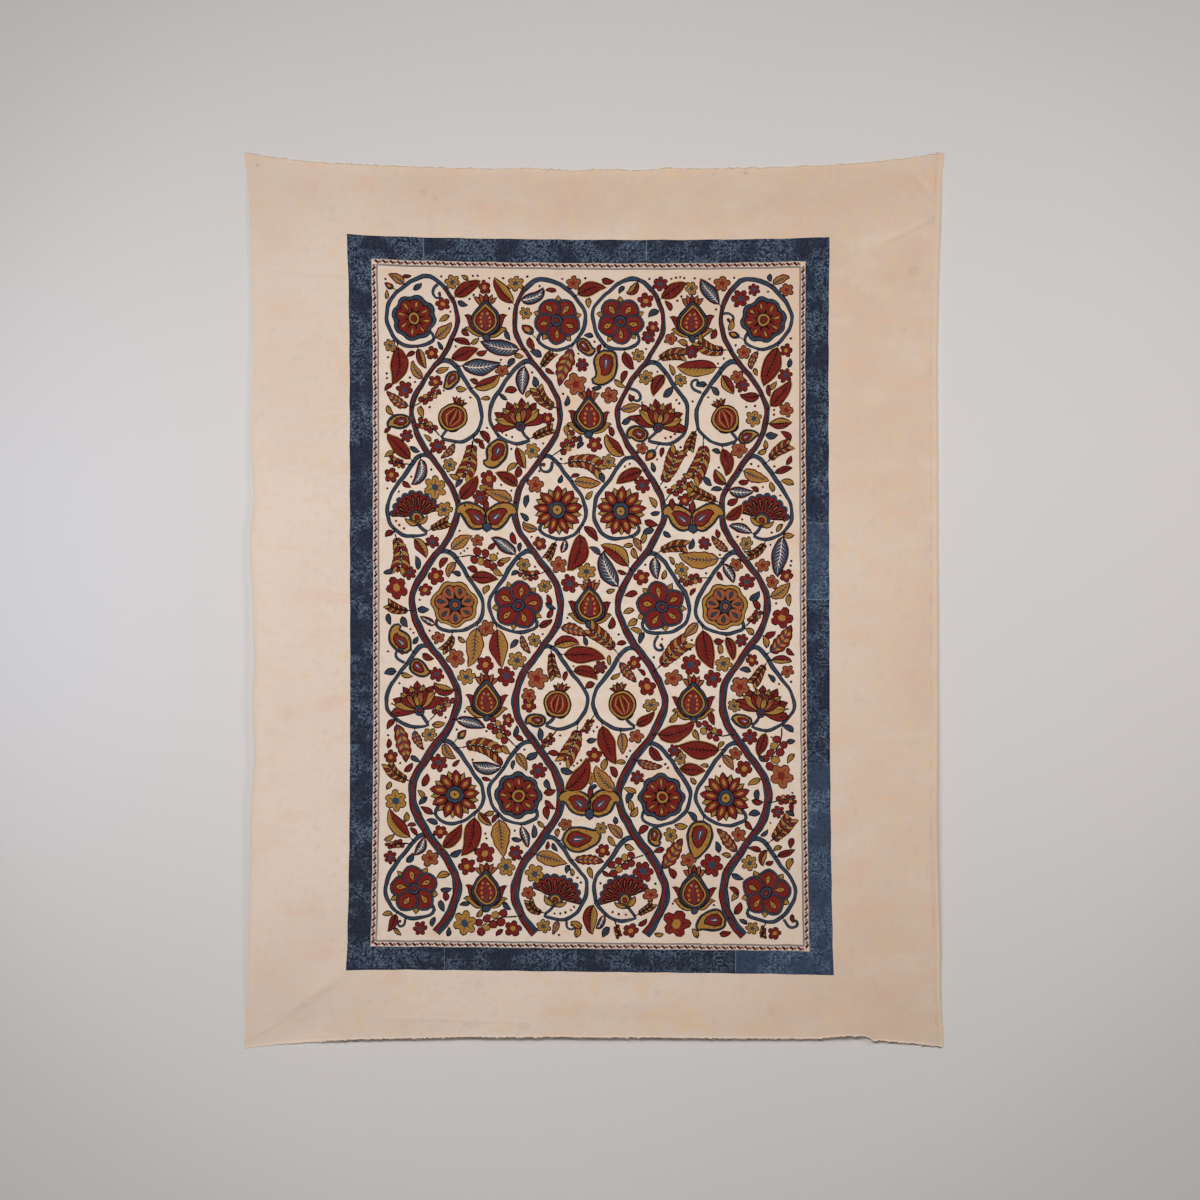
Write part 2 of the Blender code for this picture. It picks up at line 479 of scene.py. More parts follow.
def sunburst(spot, petals=9, under=MUSTARD, body=MADDER):
    for place in around(spot, petals, 0.5):
        petal(place.on(0.3, 0, 0.66), 0.40, under, 0.45, 0.9)
    for outer in around(spot, petals):
        place = outer.on(0.2, 0, 0.8)
        form = petal(place, 0.46, body, 0.52, 0.8, 0.0, 9)
        seed(place.on(0.3, 0, 0.42), 0.40, under, 0.5, 0.9, 6)
        for share in (0.55, 0.72):
            for side in (1, -1):
                root = form.at(share, side)
                flick(place(root), place(root + 0.08 + side * 0.07j), LINE * 0.9)
    outlined(spot(ring(0.36, 20, 8, 0.16, 0.8)), BLUE)
    disc(spot, 0, 0.20, 10, under)
    dot(spot(0), LINE * 1.2, INK, 7)


def rose(spot, petals=5, under=MUSTARD, body=MADDER):
    for place in around(spot, petals, 0.5):
        petal(place.on(0.2, 0, 0.84), 0.40, under, 0.55, 0.85)
        flick(place(0.4), place(0.98), LINE)
    turn = 2 * math.pi * np.arange(15) / 15
    lobe = 0.56 + 0.40 * np.exp(1j * turn) * (0.93 + 0.10 * np.abs(np.cos(2.5 * turn)))
    for place in around(spot, petals):
        for out, dye in ((1.7, INK), (1.0, BLUE), (-0.4, INK), (-1.0, body)):
            lay(grown(place(lobe), LINE * out), dye)
        petal(place.on(0.34, 0, 0.44), 0.50, under, 0.6, 0.8, 0.0, 7, LINE * 0.8)
        dot(place(0.6), LINE * 0.9)
    disc(spot, 0, 0.25, 12, BLUE)
    disc(spot, 0, 0.13, 8, body, LINE * 0.8)


def fan(spot, petals=9):
    """A pink seen from the side, its toothed petals in one wide fan."""
    spread = 2.5
    turn = np.linspace(-spread / 2 - 0.14, spread / 2 + 0.14, petals * 5 + 1)
    tooth = 0.91 + 0.09 * np.abs(np.sin(petals * math.pi * (turn / (spread + 0.28) + 0.5)))
    for reach, out, dye in ((1.0, 0.7, INK), (1.0, 0.0, BLUE), (0.93, 0.0, INK), (0.93, -0.7, MADDER)):
        edge = -0.55 + 1.5 * reach * np.concatenate([[0.1], tooth * np.exp(1j * turn)])
        lay(grown(spot(edge), LINE * out), dye)
    for number in range(petals):
        heading = spread * (number / (petals - 1) - 0.5)
        place = spot.on(-0.55, heading)
        petal(place.on(0.48, 0, 0.78), 0.26, MUSTARD, 0.66, 0.7, 0.0, 8, LINE * 0.8)
        flick(place(1.12), place(0.62), LINE * 1.2, RUST)
    disc(spot, -0.52, 0.42, 14, BLUE)
    disc(spot, -0.52, 0.30, 12, MUSTARD, LINE * 0.8)
    disc(spot, -0.52, 0.15, 8, MADDER, LINE * 0.8)
    for side in (1, -1):
        place = spot.on(-0.78, side * 1.35, 0.8)
        form = petal(place, 0.36, MUSTARD, 0.4, 0.9, side * -1.3, 9)
        flick(place(form.at(0.1)), place(form.at(0.8)), LINE)


LOTUS_TIERS = (
    # petals, reach, width, spread, dye
    (6, 1.62, 0.34, 2.7, MADDER),
    (5, 1.44, 0.34, 2.0, MUSTARD),
    (4, 1.28, 0.34, 1.35, MADDER),
    (3, 1.08, 0.36, 0.80, RUST),
    (1, 0.90, 0.34, 0.0, MUSTARD),
)


def lotus(spot):
    for count, reach, width, spread, dye in LOTUS_TIERS:
        for number in range(count):
            heading = spread * (number / (count - 1) - 0.5) if count > 1 else 0.0
            place = spot.on(-0.68, heading, reach)
            form = petal(place, width, dye, 0.58, 0.85, 0.5 * heading / max(spread, 1), 9)
            flick(place(form.at(0.95)), place(form.at(0.5)), LINE)
    disc(spot, -0.68, 0.26, 12, BLUE)
    disc(spot, -0.68, 0.12, 7, MADDER, LINE * 0.7)


def pomegranate(spot):
    for side in (1, -1):
        place = spot.on(-0.84, side * 1.0, 0.9)
        form = petal(place, 0.36, BLUE, 0.4, 0.9, side * -1.6, 10)
        flick(place(form.at(0.1)), place(form.at(0.85)), LINE, BARE)
    for number in (-2, 2, -1, 1, 0):
        petal(spot.on(0.42, number * 0.36, 0.58), 0.34, (MADDER, MUSTARD)[number % 2], 0.45, 0.9,
              number * 0.3, 7)
    disc(spot, -0.18, 0.72, 18, MUSTARD, LINE * 1.3)
    disc(spot, -0.18, 0.56, 16, MADDER)
    for across in (-0.32, -0.16, 0.0, 0.16, 0.32):
        seam = [-0.66 + 0.3j * across, -0.42 + 0.85j * across, -0.18 + 1.1j * across,
                0.06 + 0.85j * across, 0.30 + 0.3j * across]
        brush(spot(seam), (LINE * 0.5, LINE * 1.3, LINE * 0.5), INK if abs(across) == 0.16 else MUSTARD)


def plain_flower(spot, petals=5, body=MADDER, core=MUSTARD):
    outlined(spot(ring(1.0, petals * 4, petals, 0.34, 0.8)), body)
    for place in around(spot, petals):
        flick(place(0.36), place(0.84), LINE * 0.9)
    lay(spot(ring(0.34, 6)), core)


def palmette(spot):
    """A tall ogive in rims of each dye, with a crown, which fills an eye between two stems."""
    form = Blade(0.80, 0.40, 0.9, 0.0, 0.0, 17)
    for side in (1, -1):
        for turn, size, dye in ((1.25, 0.62, MUSTARD), (0.78, 0.80, MADDER)):
            place = spot.on(0.06, side * turn, size)
            leaf = Blade(0.36, 0.42, 0.85, side * -1.0, side * 1.5, 12)
            outlined(place(leaf.outline()), dye)
            veins(place, leaf, (0.25, 0.4, 0.55), INK, 0.7)
            midrib(place, leaf, 0.05, 0.9, (LINE * 1.2, LINE * 0.4), INK, 6)
    for heading in (-0.7, 0.7, -0.36, 0.36, 0.0):
        petal(spot.on(0.78, heading, 0.42), 0.34, RUST if heading else MADDER, 0.5, 0.9, heading * 0.8)
    outlined(spot(form.outline()), BLUE, LINE * 1.2)
    outlined(spot.on(0.07, 0, 0.84)(form.outline()), MUSTARD)
    core = spot.on(0.15, 0, 0.66)
    outlined(core(form.outline()), MADDER)
    for share in (0.18, 0.36, 0.54, 0.72):
        for across in (-0.5, 0.0, 0.5):
            drop = core.on(form.at(share + (0.08 if across else 0.0), across), math.pi, 0.13)
            seed(drop, 0.8, MUSTARD if across else BLUE, 0.5, 0.8, 5)
    disc(spot, -0.02, 0.10, 10, BLUE)


def twin_paisleys(spot):
    for flip in (False, True):
        side = -1 if flip else 1
        paisley(spot.on(0.05 + side * 0.05j, side * 0.75, 0.92, flip), 0.1, 0.2)
    brush(spot([-0.1, 0.3, 0.5]), (LINE * 2, LINE))
    plain_flower(spot.on(0.98, 0, 0.19), 6, MUSTARD, MADDER)
    petal(spot.on(0.42, 0, 0.36), 0.4, MADDER)
    disc(spot, 0.05, 0.12, 10, BLUE)


# The flowered field
# Four winding stems climb the field in mirrored pairs. Each curls a branch back into every hollow
# that it leaves, with a flower at its end, and leaves grow wherever the cloth is still bare.

FIELD_WIDTH = 0.664
FIELD_HEIGHT = 1.072
FIELD_CORNER = complex(FIELD_WIDTH, FIELD_HEIGHT) / 2
FIELD_EDGE_GAP = 0.004
COLUMN = FIELD_WIDTH / 4
ROWS = 7
ROW = FIELD_HEIGHT / ROWS
SWAY = 0.037             # how far a stem swings to each side of its column's middle
HOLLOW = 0.032           # how far a hollow's middle lies to the other side
CURL = 0.0455            # radius of a branch round its hollow
CELL = 0.0015            # the field is kept account of in small cells, bare or taken
BRANCH_STEP = 0.0058     # between the points of a branch
STEM_POINTS = 150
PAISLEYS_LENGTH = 0.064  # of the pairs and palmettes that fill the eyes between two stems
PALMETTE_LENGTH = 0.060
WIDEST_GAP = 0.0050      # half the width of the widest gap that is left bare
FLOWER_ROOM = 0.0095     # half the width of a gap that takes a small flower
LEAF_ROOM = 0.0055       # and of one that takes a small leaf

bare_cells = np.ones((int(FIELD_HEIGHT / CELL), int(FIELD_WIDTH / CELL)), bool)
shoots = []              # lines that leaves grow from


def claim(outline, gap=0.0020):
    """Keeps later motifs off an outline and the gap round it."""
    outline = grown(outline, gap)
    low = complex(outline.real.min(), outline.imag.min()) + FIELD_CORNER
    high = complex(outline.real.max(), outline.imag.max()) + FIELD_CORNER
    rows = slice(max(int(low.imag / CELL), 0), max(int(high.imag / CELL) + 1, 0))
    cols = slice(max(int(low.real / CELL), 0), max(int(high.real / CELL) + 1, 0))
    count_y, count_x = bare_cells[rows, cols].shape
    y = ((rows.start + 0.5 + np.arange(count_y)) * CELL - FIELD_CORNER.imag)[:, None]
    x = ((cols.start + 0.5 + np.arange(count_x)) * CELL - FIELD_CORNER.real)[None, :]
    inside = np.zeros((count_y, count_x), bool)
    for a, b in zip(outline, np.roll(outline, -1)):
        if a.imag != b.imag:
            between = (a.imag > y) != (b.imag > y)
            inside ^= between & (x < a.real + (y - a.imag) / (b.imag - a.imag) * (b.real - a.real))
    bare_cells[rows, cols] &= ~inside


def has_room(points):
    """Whether all of some points lie on bare cloth, inside the field."""
    if (abs(points.real) > FIELD_CORNER.real - FIELD_EDGE_GAP).any():
        return False
    if (abs(points.imag) > FIELD_CORNER.imag - FIELD_EDGE_GAP).any():
        return False
    place = (points + FIELD_CORNER) / CELL
    return bare_cells[place.imag.astype(int), place.real.astype(int)].all()


def evenly(points, spacing):
    run = np.concatenate([[0], np.cumsum(abs(np.diff(points)))])
    at = np.linspace(0, run[-1], max(int(run[-1] / spacing), 2) + 1)
    return np.interp(at, run, points.real) + 1j * np.interp(at, run, points.imag)


def bow(start, heading, end, end_heading, pull, count=10):
    """A curve that leaves one point and reaches another along given headings."""
    t = np.linspace(0, 1, count)
    reach = abs(end - start) * pull
    a = start + reach * np.exp(1j * heading)
    b = end - reach * np.exp(1j * end_heading)
    return start * (1 - t) ** 3 + 3 * a * t * (1 - t) ** 2 + 3 * b * t**2 * (1 - t) + end * t**3


def stem(points, widths, stripe=None):
    widths = np.asarray(widths)
    brush(points, widths + LINE * 1.6)
    brush(points, widths, BLUE)
    if stripe is not None:
        side = square_to(np.gradient(points))
        width = np.interp(np.linspace(0, 1, len(points)), np.linspace(0, 1, len(widths)), widths)
        wave = 0.14 * np.sin(np.arange(len(points)) * 0.9)
        brush(points + side * width * (wave + 0.14), widths * 0.34, stripe)
        for across in (-0.30, -0.06, 0.34):
            brush(points + side * width * (wave + across), (LINE * 0.55, LINE * 0.45))
    for piece in brush_pieces(points, widths + LINE * 1.5):
        claim(piece)
    shoots.append(points)


BRANCHES = (
    # row from the foot, column from the edge, flower, its size, and the way it faces in radians
    (0, 0, "rose", 0.039, 0.2), (0, 1, "fan", 0.029, 1.25),
    (1, 0, "sunburst", 0.040, 0.1), (1, 1, "rosette", 0.038, 0.0),
    (2, 0, "lotus", 0.029, 1.25), (2, 1, "pomegranate", 0.031, 1.35),
    (3, 0, "gold rosette", 0.038, 0.3), (3, 1, "rose", 0.040, 0.5),
    (4, 0, "fan", 0.029, 1.4), (4, 1, "sunburst", 0.040, 0.2),
    (5, 0, "pomegranate", 0.031, 1.2), (5, 1, "lotus", 0.029, 1.35),
    (6, 0, "rosette", 0.037, 0.2), (6, 1, "rose", 0.038, 0.9),
)
FLOWERS = {
    "rose": rose,
    "fan": fan,
    "sunburst": sunburst,
    "rosette": rosette,
    "gold rosette": lambda spot: rosette(spot, 7, MUSTARD, RUST, BLUE),
    "lotus": lotus,
    "pomegranate": pomegranate,
}
FROM_SIDE = ("fan", "lotus", "pomegranate")


def stem_place(run, lean):
    """A point of a winding stem, a number of rows above the field's foot."""
    return lean * SWAY * np.cos(math.pi * (run - 0.5)) + 1j * (ROW * run - FIELD_CORNER.imag)


def climb(column, mirror):
    """One winding stem from the foot of the field to its head, with its branches and flowers."""
    lean = 1 if column == 0 else -1
    middle = (column - 1.5) * COLUMN
    flowers = []
    for row, at_column, name, size, facing in BRANCHES:
        if at_column != column:
            continue
        side = lean if row % 2 == 0 else -lean
        hollow = middle - side * HOLLOW + 1j * (ROW * (row + 0.5) - FIELD_CORNER.imag)
        leaves_at = min(row + 1.0, ROWS - 0.2)
        start, ahead = middle + stem_place(np.array([leaves_at, leaves_at + 0.01]), lean) - hollow
        if side > 0:
            start, ahead = -np.conjugate(start), -np.conjugate(ahead)
        turn = np.radians(np.linspace(40, -104, 26))
        round_hollow = CURL * (1 + 0.03 * np.sin(3 * turn + row)) * np.exp(1j * turn)
        base = -0.62 * size * np.exp(1j * facing) if name in FROM_SIDE else 0.0
        arrival = facing if name in FROM_SIDE else 0.6
        curve = np.concatenate([
            bow(start, float(np.angle(ahead - start)), round_hollow[0], turn[0] - math.pi / 2, 0.5),
            round_hollow[1:-1],
            bow(round_hollow[-1], turn[-1] - math.pi / 2, base, arrival, 0.8)])
        heading = facing
        if side > 0:
            curve, heading = -np.conjugate(curve), math.pi - heading
        curve = hollow + curve
        if mirror:
            curve, hollow, heading = -np.conjugate(curve), -np.conjugate(hollow), math.pi - heading
        stem(evenly(curve, BRANCH_STEP), (0.0056, 0.0042, 0.0034, 0.0028))
        flowers.append((name, Spot(hollow, heading, size, (side > 0) != mirror)))
    line = middle + stem_place(np.linspace(0.04, ROWS - 0.16, STEM_POINTS), lean)
    line = -np.conjugate(line) if mirror else line
    stem(line, (0.0125, 0.0105, 0.0090, 0.0070, 0.0050), MADDER)
    for name, spot in flowers:
        FLOWERS[name](spot)
        claim(spot(ring(1.06, 24)))


SPRIGS = {
    # how it is drawn, and the width and belly of the room that it needs
    "red": (red_leaf, 0.46, 0.42),
    "gold": (gold_leaf, 0.48, 0.42),
    "parted": (parted_leaf, 0.46, 0.44),
    "banded": (banded_leaf, 0.42, 0.42),
    "blue": (blue_leaf, 0.42, 0.45),
    "fern": (fern, 0.62, 0.50),
    "paisley": (paisley, 0.74, 0.45),
    "berries": (berry_spray, 0.46, 0.60),
    "bud": (bud, 0.42, 0.55),
    "hook": (hook, 0.70, 0.60),
}
LARGE_ORDER = ("parted", "fern", "red", "paisley", "banded", "berries", "gold", "red", "fern", "blue")
SMALL_ORDER = ("red", "hook", "gold", "bud", "parted", "red", "hook", "gold", "blue", "berries")
GROWTHS = (
    # longest, shortest, spacing along the stem
    (0.072, 0.052, 0.036),
    (0.052, 0.036, 0.024),
    (0.036, 0.024, 0.015),
    (0.024, 0.015, 0.010),
)
LIFTS = (0.55, 0.9, 1.3, 0.3)       # how far a leaf leans out from its stem, in radians


def grow_sprigs():
    """Leaves and shoots grow from the stems wherever there is room, the longest first."""
    chance = np.random.default_rng(12)
    along, across = np.meshgrid(np.linspace(0.08, 1.0, 13), np.linspace(-1.0, 1.0, 5))
    count = 0
    for longest, shortest, spacing in GROWTHS:
        order = LARGE_ORDER if longest > 0.04 else SMALL_ORDER
        for shoot in shoots:
            points = evenly(shoot, spacing)
            for place in range(1, len(points) - 1):
                ahead = float(np.angle(points[place + 1] - points[place - 1]))
                for side in (1, -1):
                    draw, width, belly = SPRIGS[order[count % len(order)]]
                    bend = chance.uniform(-1.0, 0.7)
                    form = Blade(width, belly, 0.8, bend, 0.0, 9)
                    room = form.at(along.ravel(), across.ravel())
                    tries = ((length, lift) for length in np.linspace(longest, shortest, 4) for lift in LIFTS)
                    for length, lift in tries:
                        spot = Spot(points[place], ahead + side * lift, length, side < 0)
                        body = spot.on(0.14, 0, 0.88)
                        if has_room(body(room)):
                            flick(spot.at, spot(0.18), LINE * 2.2)
                            draw(body, bend, 0.5 * bend)
                            claim(body(form.outline()))
                            count += 1
                            break


def widest_gaps():
    """How many cells deep each bare cell lies."""
    depth = np.zeros(bare_cells.shape, int)
    left = bare_cells.copy()
    left[[0, -1]] = left[:, [0, -1]] = False
    while left.any():
        depth += left
        near = left.copy()
        near[1:-1, 1:-1] &= left[2:, 1:-1] & left[:-2, 1:-1] & left[1:-1, 2:] & left[1:-1, :-2]
        left = near
    return depth


def fill_gaps():
    """Small flowers, leaves and dots in the widest gaps, until none is wide."""
    dyes = ((MADDER, MUSTARD), (MUSTARD, BLUE), (RUST, MADDER), (MADDER, BLUE))
    count = 0
    depth = widest_gaps()
    while depth.max() * CELL > WIDEST_GAP:
        for row, col in zip(*np.nonzero(depth == depth.max())):
            if not bare_cells[row, col]:
                continue
            at = complex(col + 0.5, row + 0.5) * CELL - FIELD_CORNER
            spot = Spot(at, count * 2.4, depth.max() * CELL * 0.88)
            if spot.size > FLOWER_ROOM:
                plain_flower(spot, 5 + count % 2, *dyes[count % 4])
            elif spot.size > LEAF_ROOM:
                small = Spot(spot(-1.1), spot.turn, spot.size * 2.3)
                petal(small, 0.46, (MADDER, MUSTARD, BLUE)[count % 3], 0.42, 0.9, 0.7, 7)
                flick(small(0.05), small(0.8), LINE)
            else:
                dot(at, spot.size * 0.42, (DEEP, INK)[count % 2])
            claim(spot(ring(1.2, 12)), 0.001)
            count += 1
        depth = widest_gaps()


for mirror in (False, True):
    for column in (0, 1):
        climb(column, mirror)
for row in range(ROWS):
    for across in ((-COLUMN, COLUMN) if row % 2 == 0 else (0.0,)):
        foot = complex(across, ROW * (row + 0.5) - FIELD_CORNER.imag)
        if row % 3 == 1:
            spot = Spot(foot - 0.032j, math.pi / 2, PAISLEYS_LENGTH)
            twin_paisleys(spot)
            room = ring(1.0, 16)
            claim(spot(0.24 + 0.36 * room.real + 0.74j * room.imag))
        else:
            spot = Spot(foot - 0.028j, math.pi / 2, PALMETTE_LENGTH)
            palmette(spot)
            claim(spot(Blade(1.0, 0.45, 0.6, 0, 0, 14).outline() * 1.18 - 0.05))
grow_sprigs()
fill_gaps()


# The border
# A broad band of indigo is stamped round the field, a block at a time, with hairline gaps or laps
# where two stamps meet. Inside it run a stamped rope of long and short dashes and a soft grey line.

FRAME_WIDTH = 0.7715
FRAME_HEIGHT = 1.1785
FRAME_CORNER = complex(FRAME_WIDTH, FRAME_HEIGHT) / 2
BAND = 0.0372
BORDER_HAND = 0.35       # a stamp is steadier than a brush
ROPE_IN = 0.0040         # middle of the rope, in from the band
ROPE_PITCH = 0.0120
ROPE_DASHES = (
    # along the rope, half length, half thickness, dye
    (0.06, 0.0049, 0.0031, INK),
    (0.0, 0.0047, 0.0027, DEEP),
    (0.5, 0.0028, 0.0021, DEEP),
)
HAIRLINES = (
    # in from the band, thickness, dye
    (-0.0361, 0.0022, NIGHT),
    (-0.0011, 0.0022, NIGHT),
    (0.0008, 0.0007, SMOKE),
    (0.0086, 0.0031, SMOKE),
    (0.0099, 0.0006, INK),
)
STAMPS = (
    # side of the frame, start and end along it from its middle, and the dye where it took less well
    ("right", 0.011, 0.133, PALE),
    ("right", -0.589, -0.250, PALE),
    ("foot", 0.231, 0.352, PALE),
)
STAMP_JOINTS = (
    # side of the frame, distance along it from its middle, thickness
    ("top", -0.264, 0.0011),
    ("top", 0.093, 0.0011),
    ("top", 0.228, 0.0007),
    ("foot", -0.231, 0.0008),
    ("foot", 0.231, 0.0010),
    ("right", 0.133, 0.0008),
    ("right", 0.011, 0.0009),
)


def strip(start, end, thickness, step=0.012):
    """A straight band along a line, with enough points for its edges to waver."""
    line = evenly(np.array([start, end]), step)
    side = 1j * (end - start) / abs(end - start) * thickness / 2
    return np.concatenate([line - side, (line + side)[::-1]])


def side_of_frame(name, inward):
    """Start and end of one side of the frame, moved in from its outer edge."""
    corner = FRAME_CORNER - complex(inward, inward)
    far = corner.conjugate()
    sides = {"top": (-far, corner), "foot": (-corner, far), "left": (-corner, -far), "right": (far, corner)}
    return sides[name]


for name in ("top", "foot", "left", "right"):
    start, end = side_of_frame(name, BAND / 2)
    along = (end - start) / abs(end - start) * BAND / 2
    lay(strip(start - along, end + along, BAND), INDIGO, BORDER_HAND)
    for inward, thickness, dye in HAIRLINES:
        start, end = side_of_frame(name, BAND + inward)
        lay(strip(start, end, thickness, 0.024), dye, BORDER_HAND)
    start, end = side_of_frame(name, BAND + ROPE_IN)
    along = (end - start) / abs(end - start)
    for number in range(int(abs(end - start) / ROPE_PITCH)):
        for share, half_length, half_thickness, dye in ROPE_DASHES:
            at = start + along * ROPE_PITCH * (number + 0.35 + share)
            slant = np.array([-1 + 0.6j, -0.2 + 1j, 1 - 0.5j, 0.2 - 1j])
            dash = slant.real * half_length + 1j * slant.imag * half_thickness
            lay(at + along * dash, dye, BORDER_HAND)
for name, low, high, dye in STAMPS:
    start, end = side_of_frame(name, BAND / 2)
    along = (end - start) / abs(end - start)
    middle = (start + end) / 2
    lay(strip(middle + along * low, middle + along * high, BAND), dye, BORDER_HAND)
inward_from = {"top": -1j, "foot": 1j, "left": 1, "right": -1}
for name, distance, thickness in STAMP_JOINTS:
    start, end = side_of_frame(name, 0.0)
    at = (start + end) / 2 + (end - start) / abs(end - start) * distance
    lay(strip(at, at + inward_from[name] * BAND, thickness, 0.010), WASHED, BORDER_HAND)


# The printed cotton
# The flat cloth is cut into small faces along the edges of its dyes, then hung. The print's frame
# lies a little askew on it. The back takes only what soaks through, from the larger patches.

FRAME_ON_CLOTH = (
    # across and down the cloth as shares: upper left, upper right, lower left, lower right
    (0.1395, 0.0799),
    (0.8406, 0.0822),
    (0.1416, 0.9199),
    (0.8442, 0.9262),
)
LATTICE = 0.0132         # between points of the cloth where nothing is printed
BACK_LATTICE = 0.0150
FINEST = 0.00028         # smallest bend that is kept where two dyes meet
BACK_FINEST = 0.0012
BACK_SLACK = 0.0007      # how far the coarser back lies behind the front's own in the folds
CUT_STEP = 0.0026        # between points of the cut edges
SELVEDGE_STEP = 0.0045
FRAY = 0.00042           # how unevenly the cut edges run
SELVEDGE_WAVER = 0.00035
THREADS = 0.13           # share of their points where a thread stands out
THREAD_REACH = 0.0024
EDGE_CURL = 0.0026       # how far the edges turn up off the wall
EDGE_BAND = 0.0070       # how far in from the edges they do so
HELD = 0.060             # from a corner, where the cloth is held flat
CLEAR_OF_WALL = 0.002    # a crease is at its full height where the cloth stands this far off
SLACK_FROM = 0.020       # how far in from the edges the back is slack
SHARP_BEND = 50          # degrees, past which an edge isn't smoothed
FRONT_ON_MAP = 0.86      # share of the bake map's width that the front takes, from its left
BACK_ON_MAP = (0.99, 0.12)    # where the back starts, and the share that it takes to the left of there
RIM_ON_MAP = (0.995, 0.998)   # the two sides of the narrow strip that the rim takes
WORN_CORNER = 0.0050     # how far from its point a right corner is rounded off
SOAKED_AREA = 0.000400   # smallest patch that shows on the back
SPILT_AREA = 0.20        # a patch found to cover more than this has a crossed outline, and is left out
CREASES = (
    # x, z, turn in degrees, along, across, height
    (-0.470, -0.180, 88.0, 0.110, 0.012, 0.0010),
    (0.512, -0.660, 90.0, 0.130, 0.014, 0.0018),
    (-0.452, -1.318, 39.0, 0.085, 0.010, 0.0024),
    (-0.505, -1.352, 46.0, 0.050, 0.007, -0.0014),
    (-0.300, -1.330, 22.0, 0.120, 0.010, 0.0012),
    (0.330, -1.350, -14.0, 0.100, 0.009, 0.0010),
    (-0.500, -0.175, 2.0, 0.060, 0.006, -0.0008),
    (0.450, -0.075, 42.0, 0.080, 0.010, 0.0018),
    (0.500, -0.110, 62.0, 0.060, 0.007, -0.0010),
    (-0.450, -0.060, -40.0, 0.080, 0.009, 0.0012),
    (0.060, -1.330, 3.0, 0.200, 0.012, 0.0008),
    (-0.120, -0.030, 2.0, 0.180, 0.010, 0.0009),
    (0.560, -1.000, 90.0, 0.090, 0.012, 0.0040),
)
FOOT_TURN = (
    # at, spread, out: the lifted part of the foot ends in a small turned-down flap
    (0.432, 0.012, -0.0028),
    (0.4465, 0.0045, 0.0030),
)


def on_cloth(z):
    """A point of the print on the flat cloth, in metres across and up from its upper left corner."""
    u = z.real / FRAME_WIDTH + 0.5
    w = 0.5 - z.imag / FRAME_HEIGHT
    upper_left, upper_right, lower_left, lower_right = (complex(x, y) for x, y in FRAME_ON_CLOTH)
    share = (upper_left * (1 - u) + upper_right * u) * (1 - w) + (lower_left * (1 - u) + lower_right * u) * w
    return share.real * CLOTH_WIDTH - 1j * share.imag * CLOTH_LENGTH


def edges_between(triangles, dyes):
    """The edges of some triangles where two dyes meet."""
    edges = np.concatenate([triangles[:, pair] for pair in ([0, 1], [1, 2], [2, 0])])
    edges = np.sort(edges, axis=1)
    sides = np.concatenate([dyes, dyes, dyes])
    order = np.lexsort((edges[:, 1], edges[:, 0]))
    edges, sides = edges[order], sides[order]
    shared = (edges[1:] == edges[:-1]).all(axis=1) & (sides[1:] != sides[:-1])
    return edges[1:][shared]


def straightened(points, edges, finest):
    """Joined edges without the points where they bend by less than a distance."""
    order_of_loss = np.random.default_rng(3).random(len(points))
    for _ in range(5):
        ends = edges.ravel()
        order = np.argsort(ends, kind="stable")
        count = np.bincount(ends, minlength=len(points))
        first = np.cumsum(count) - count
        others = edges[:, ::-1].ravel()[order]
        middle = np.nonzero(count == 2)[0]
        before, after = others[first[middle]], others[first[middle] + 1]
        past = points[after] - points[before]
        bend = abs(((points[middle] - points[before]) * np.conjugate(past)).imag)
        bend = bend / np.maximum(abs(past), 1e-9)
        slight = (bend < finest) & (before != after)
        rank = np.full(len(points), -1.0)
        rank[middle[slight]] = order_of_loss[middle[slight]]
        lost = slight & (rank[middle] > rank[before]) & (rank[middle] > rank[after])
        gone = np.zeros(len(points), bool)
        gone[middle[lost]] = True
        edges = np.concatenate([edges[~gone[edges].any(axis=1)],
                                np.stack([before[lost], after[lost]], axis=1)])
    return edges


def divided(points, edges, longest):
    """Edges cut into pieces no longer than a distance, so that they bend with the cloth."""
    added = []
    pieces = []
    for start, end in edges.tolist():
        count = int(abs(points[end] - points[start]) / longest) + 1
        between = np.linspace(points[start], points[end], count + 1)[1:-1]
        first = len(points) + len(added)
        chain = [start, *range(first, first + len(between)), end]
        added.extend(between)
        pieces.extend(zip(chain[:-1], chain[1:]))
    return np.concatenate([points, added]), np.array(pieces)


def as_pairs(z):
    return np.stack([z.real, z.imag], axis=1)


def joined_up(points, edges, outlines, nearest):
    """Flat points joined into triangles, and what each point and each triangle was made from."""
    found = delaunay_2d_cdt(as_pairs(points).tolist(), edges, outlines, 0, nearest, True)
    places = np.array([complex(x, y) for x, y in found[0]])
    triangles = np.array([list(face) for face in found[2]])
    return places, triangles, found[3], found[5]


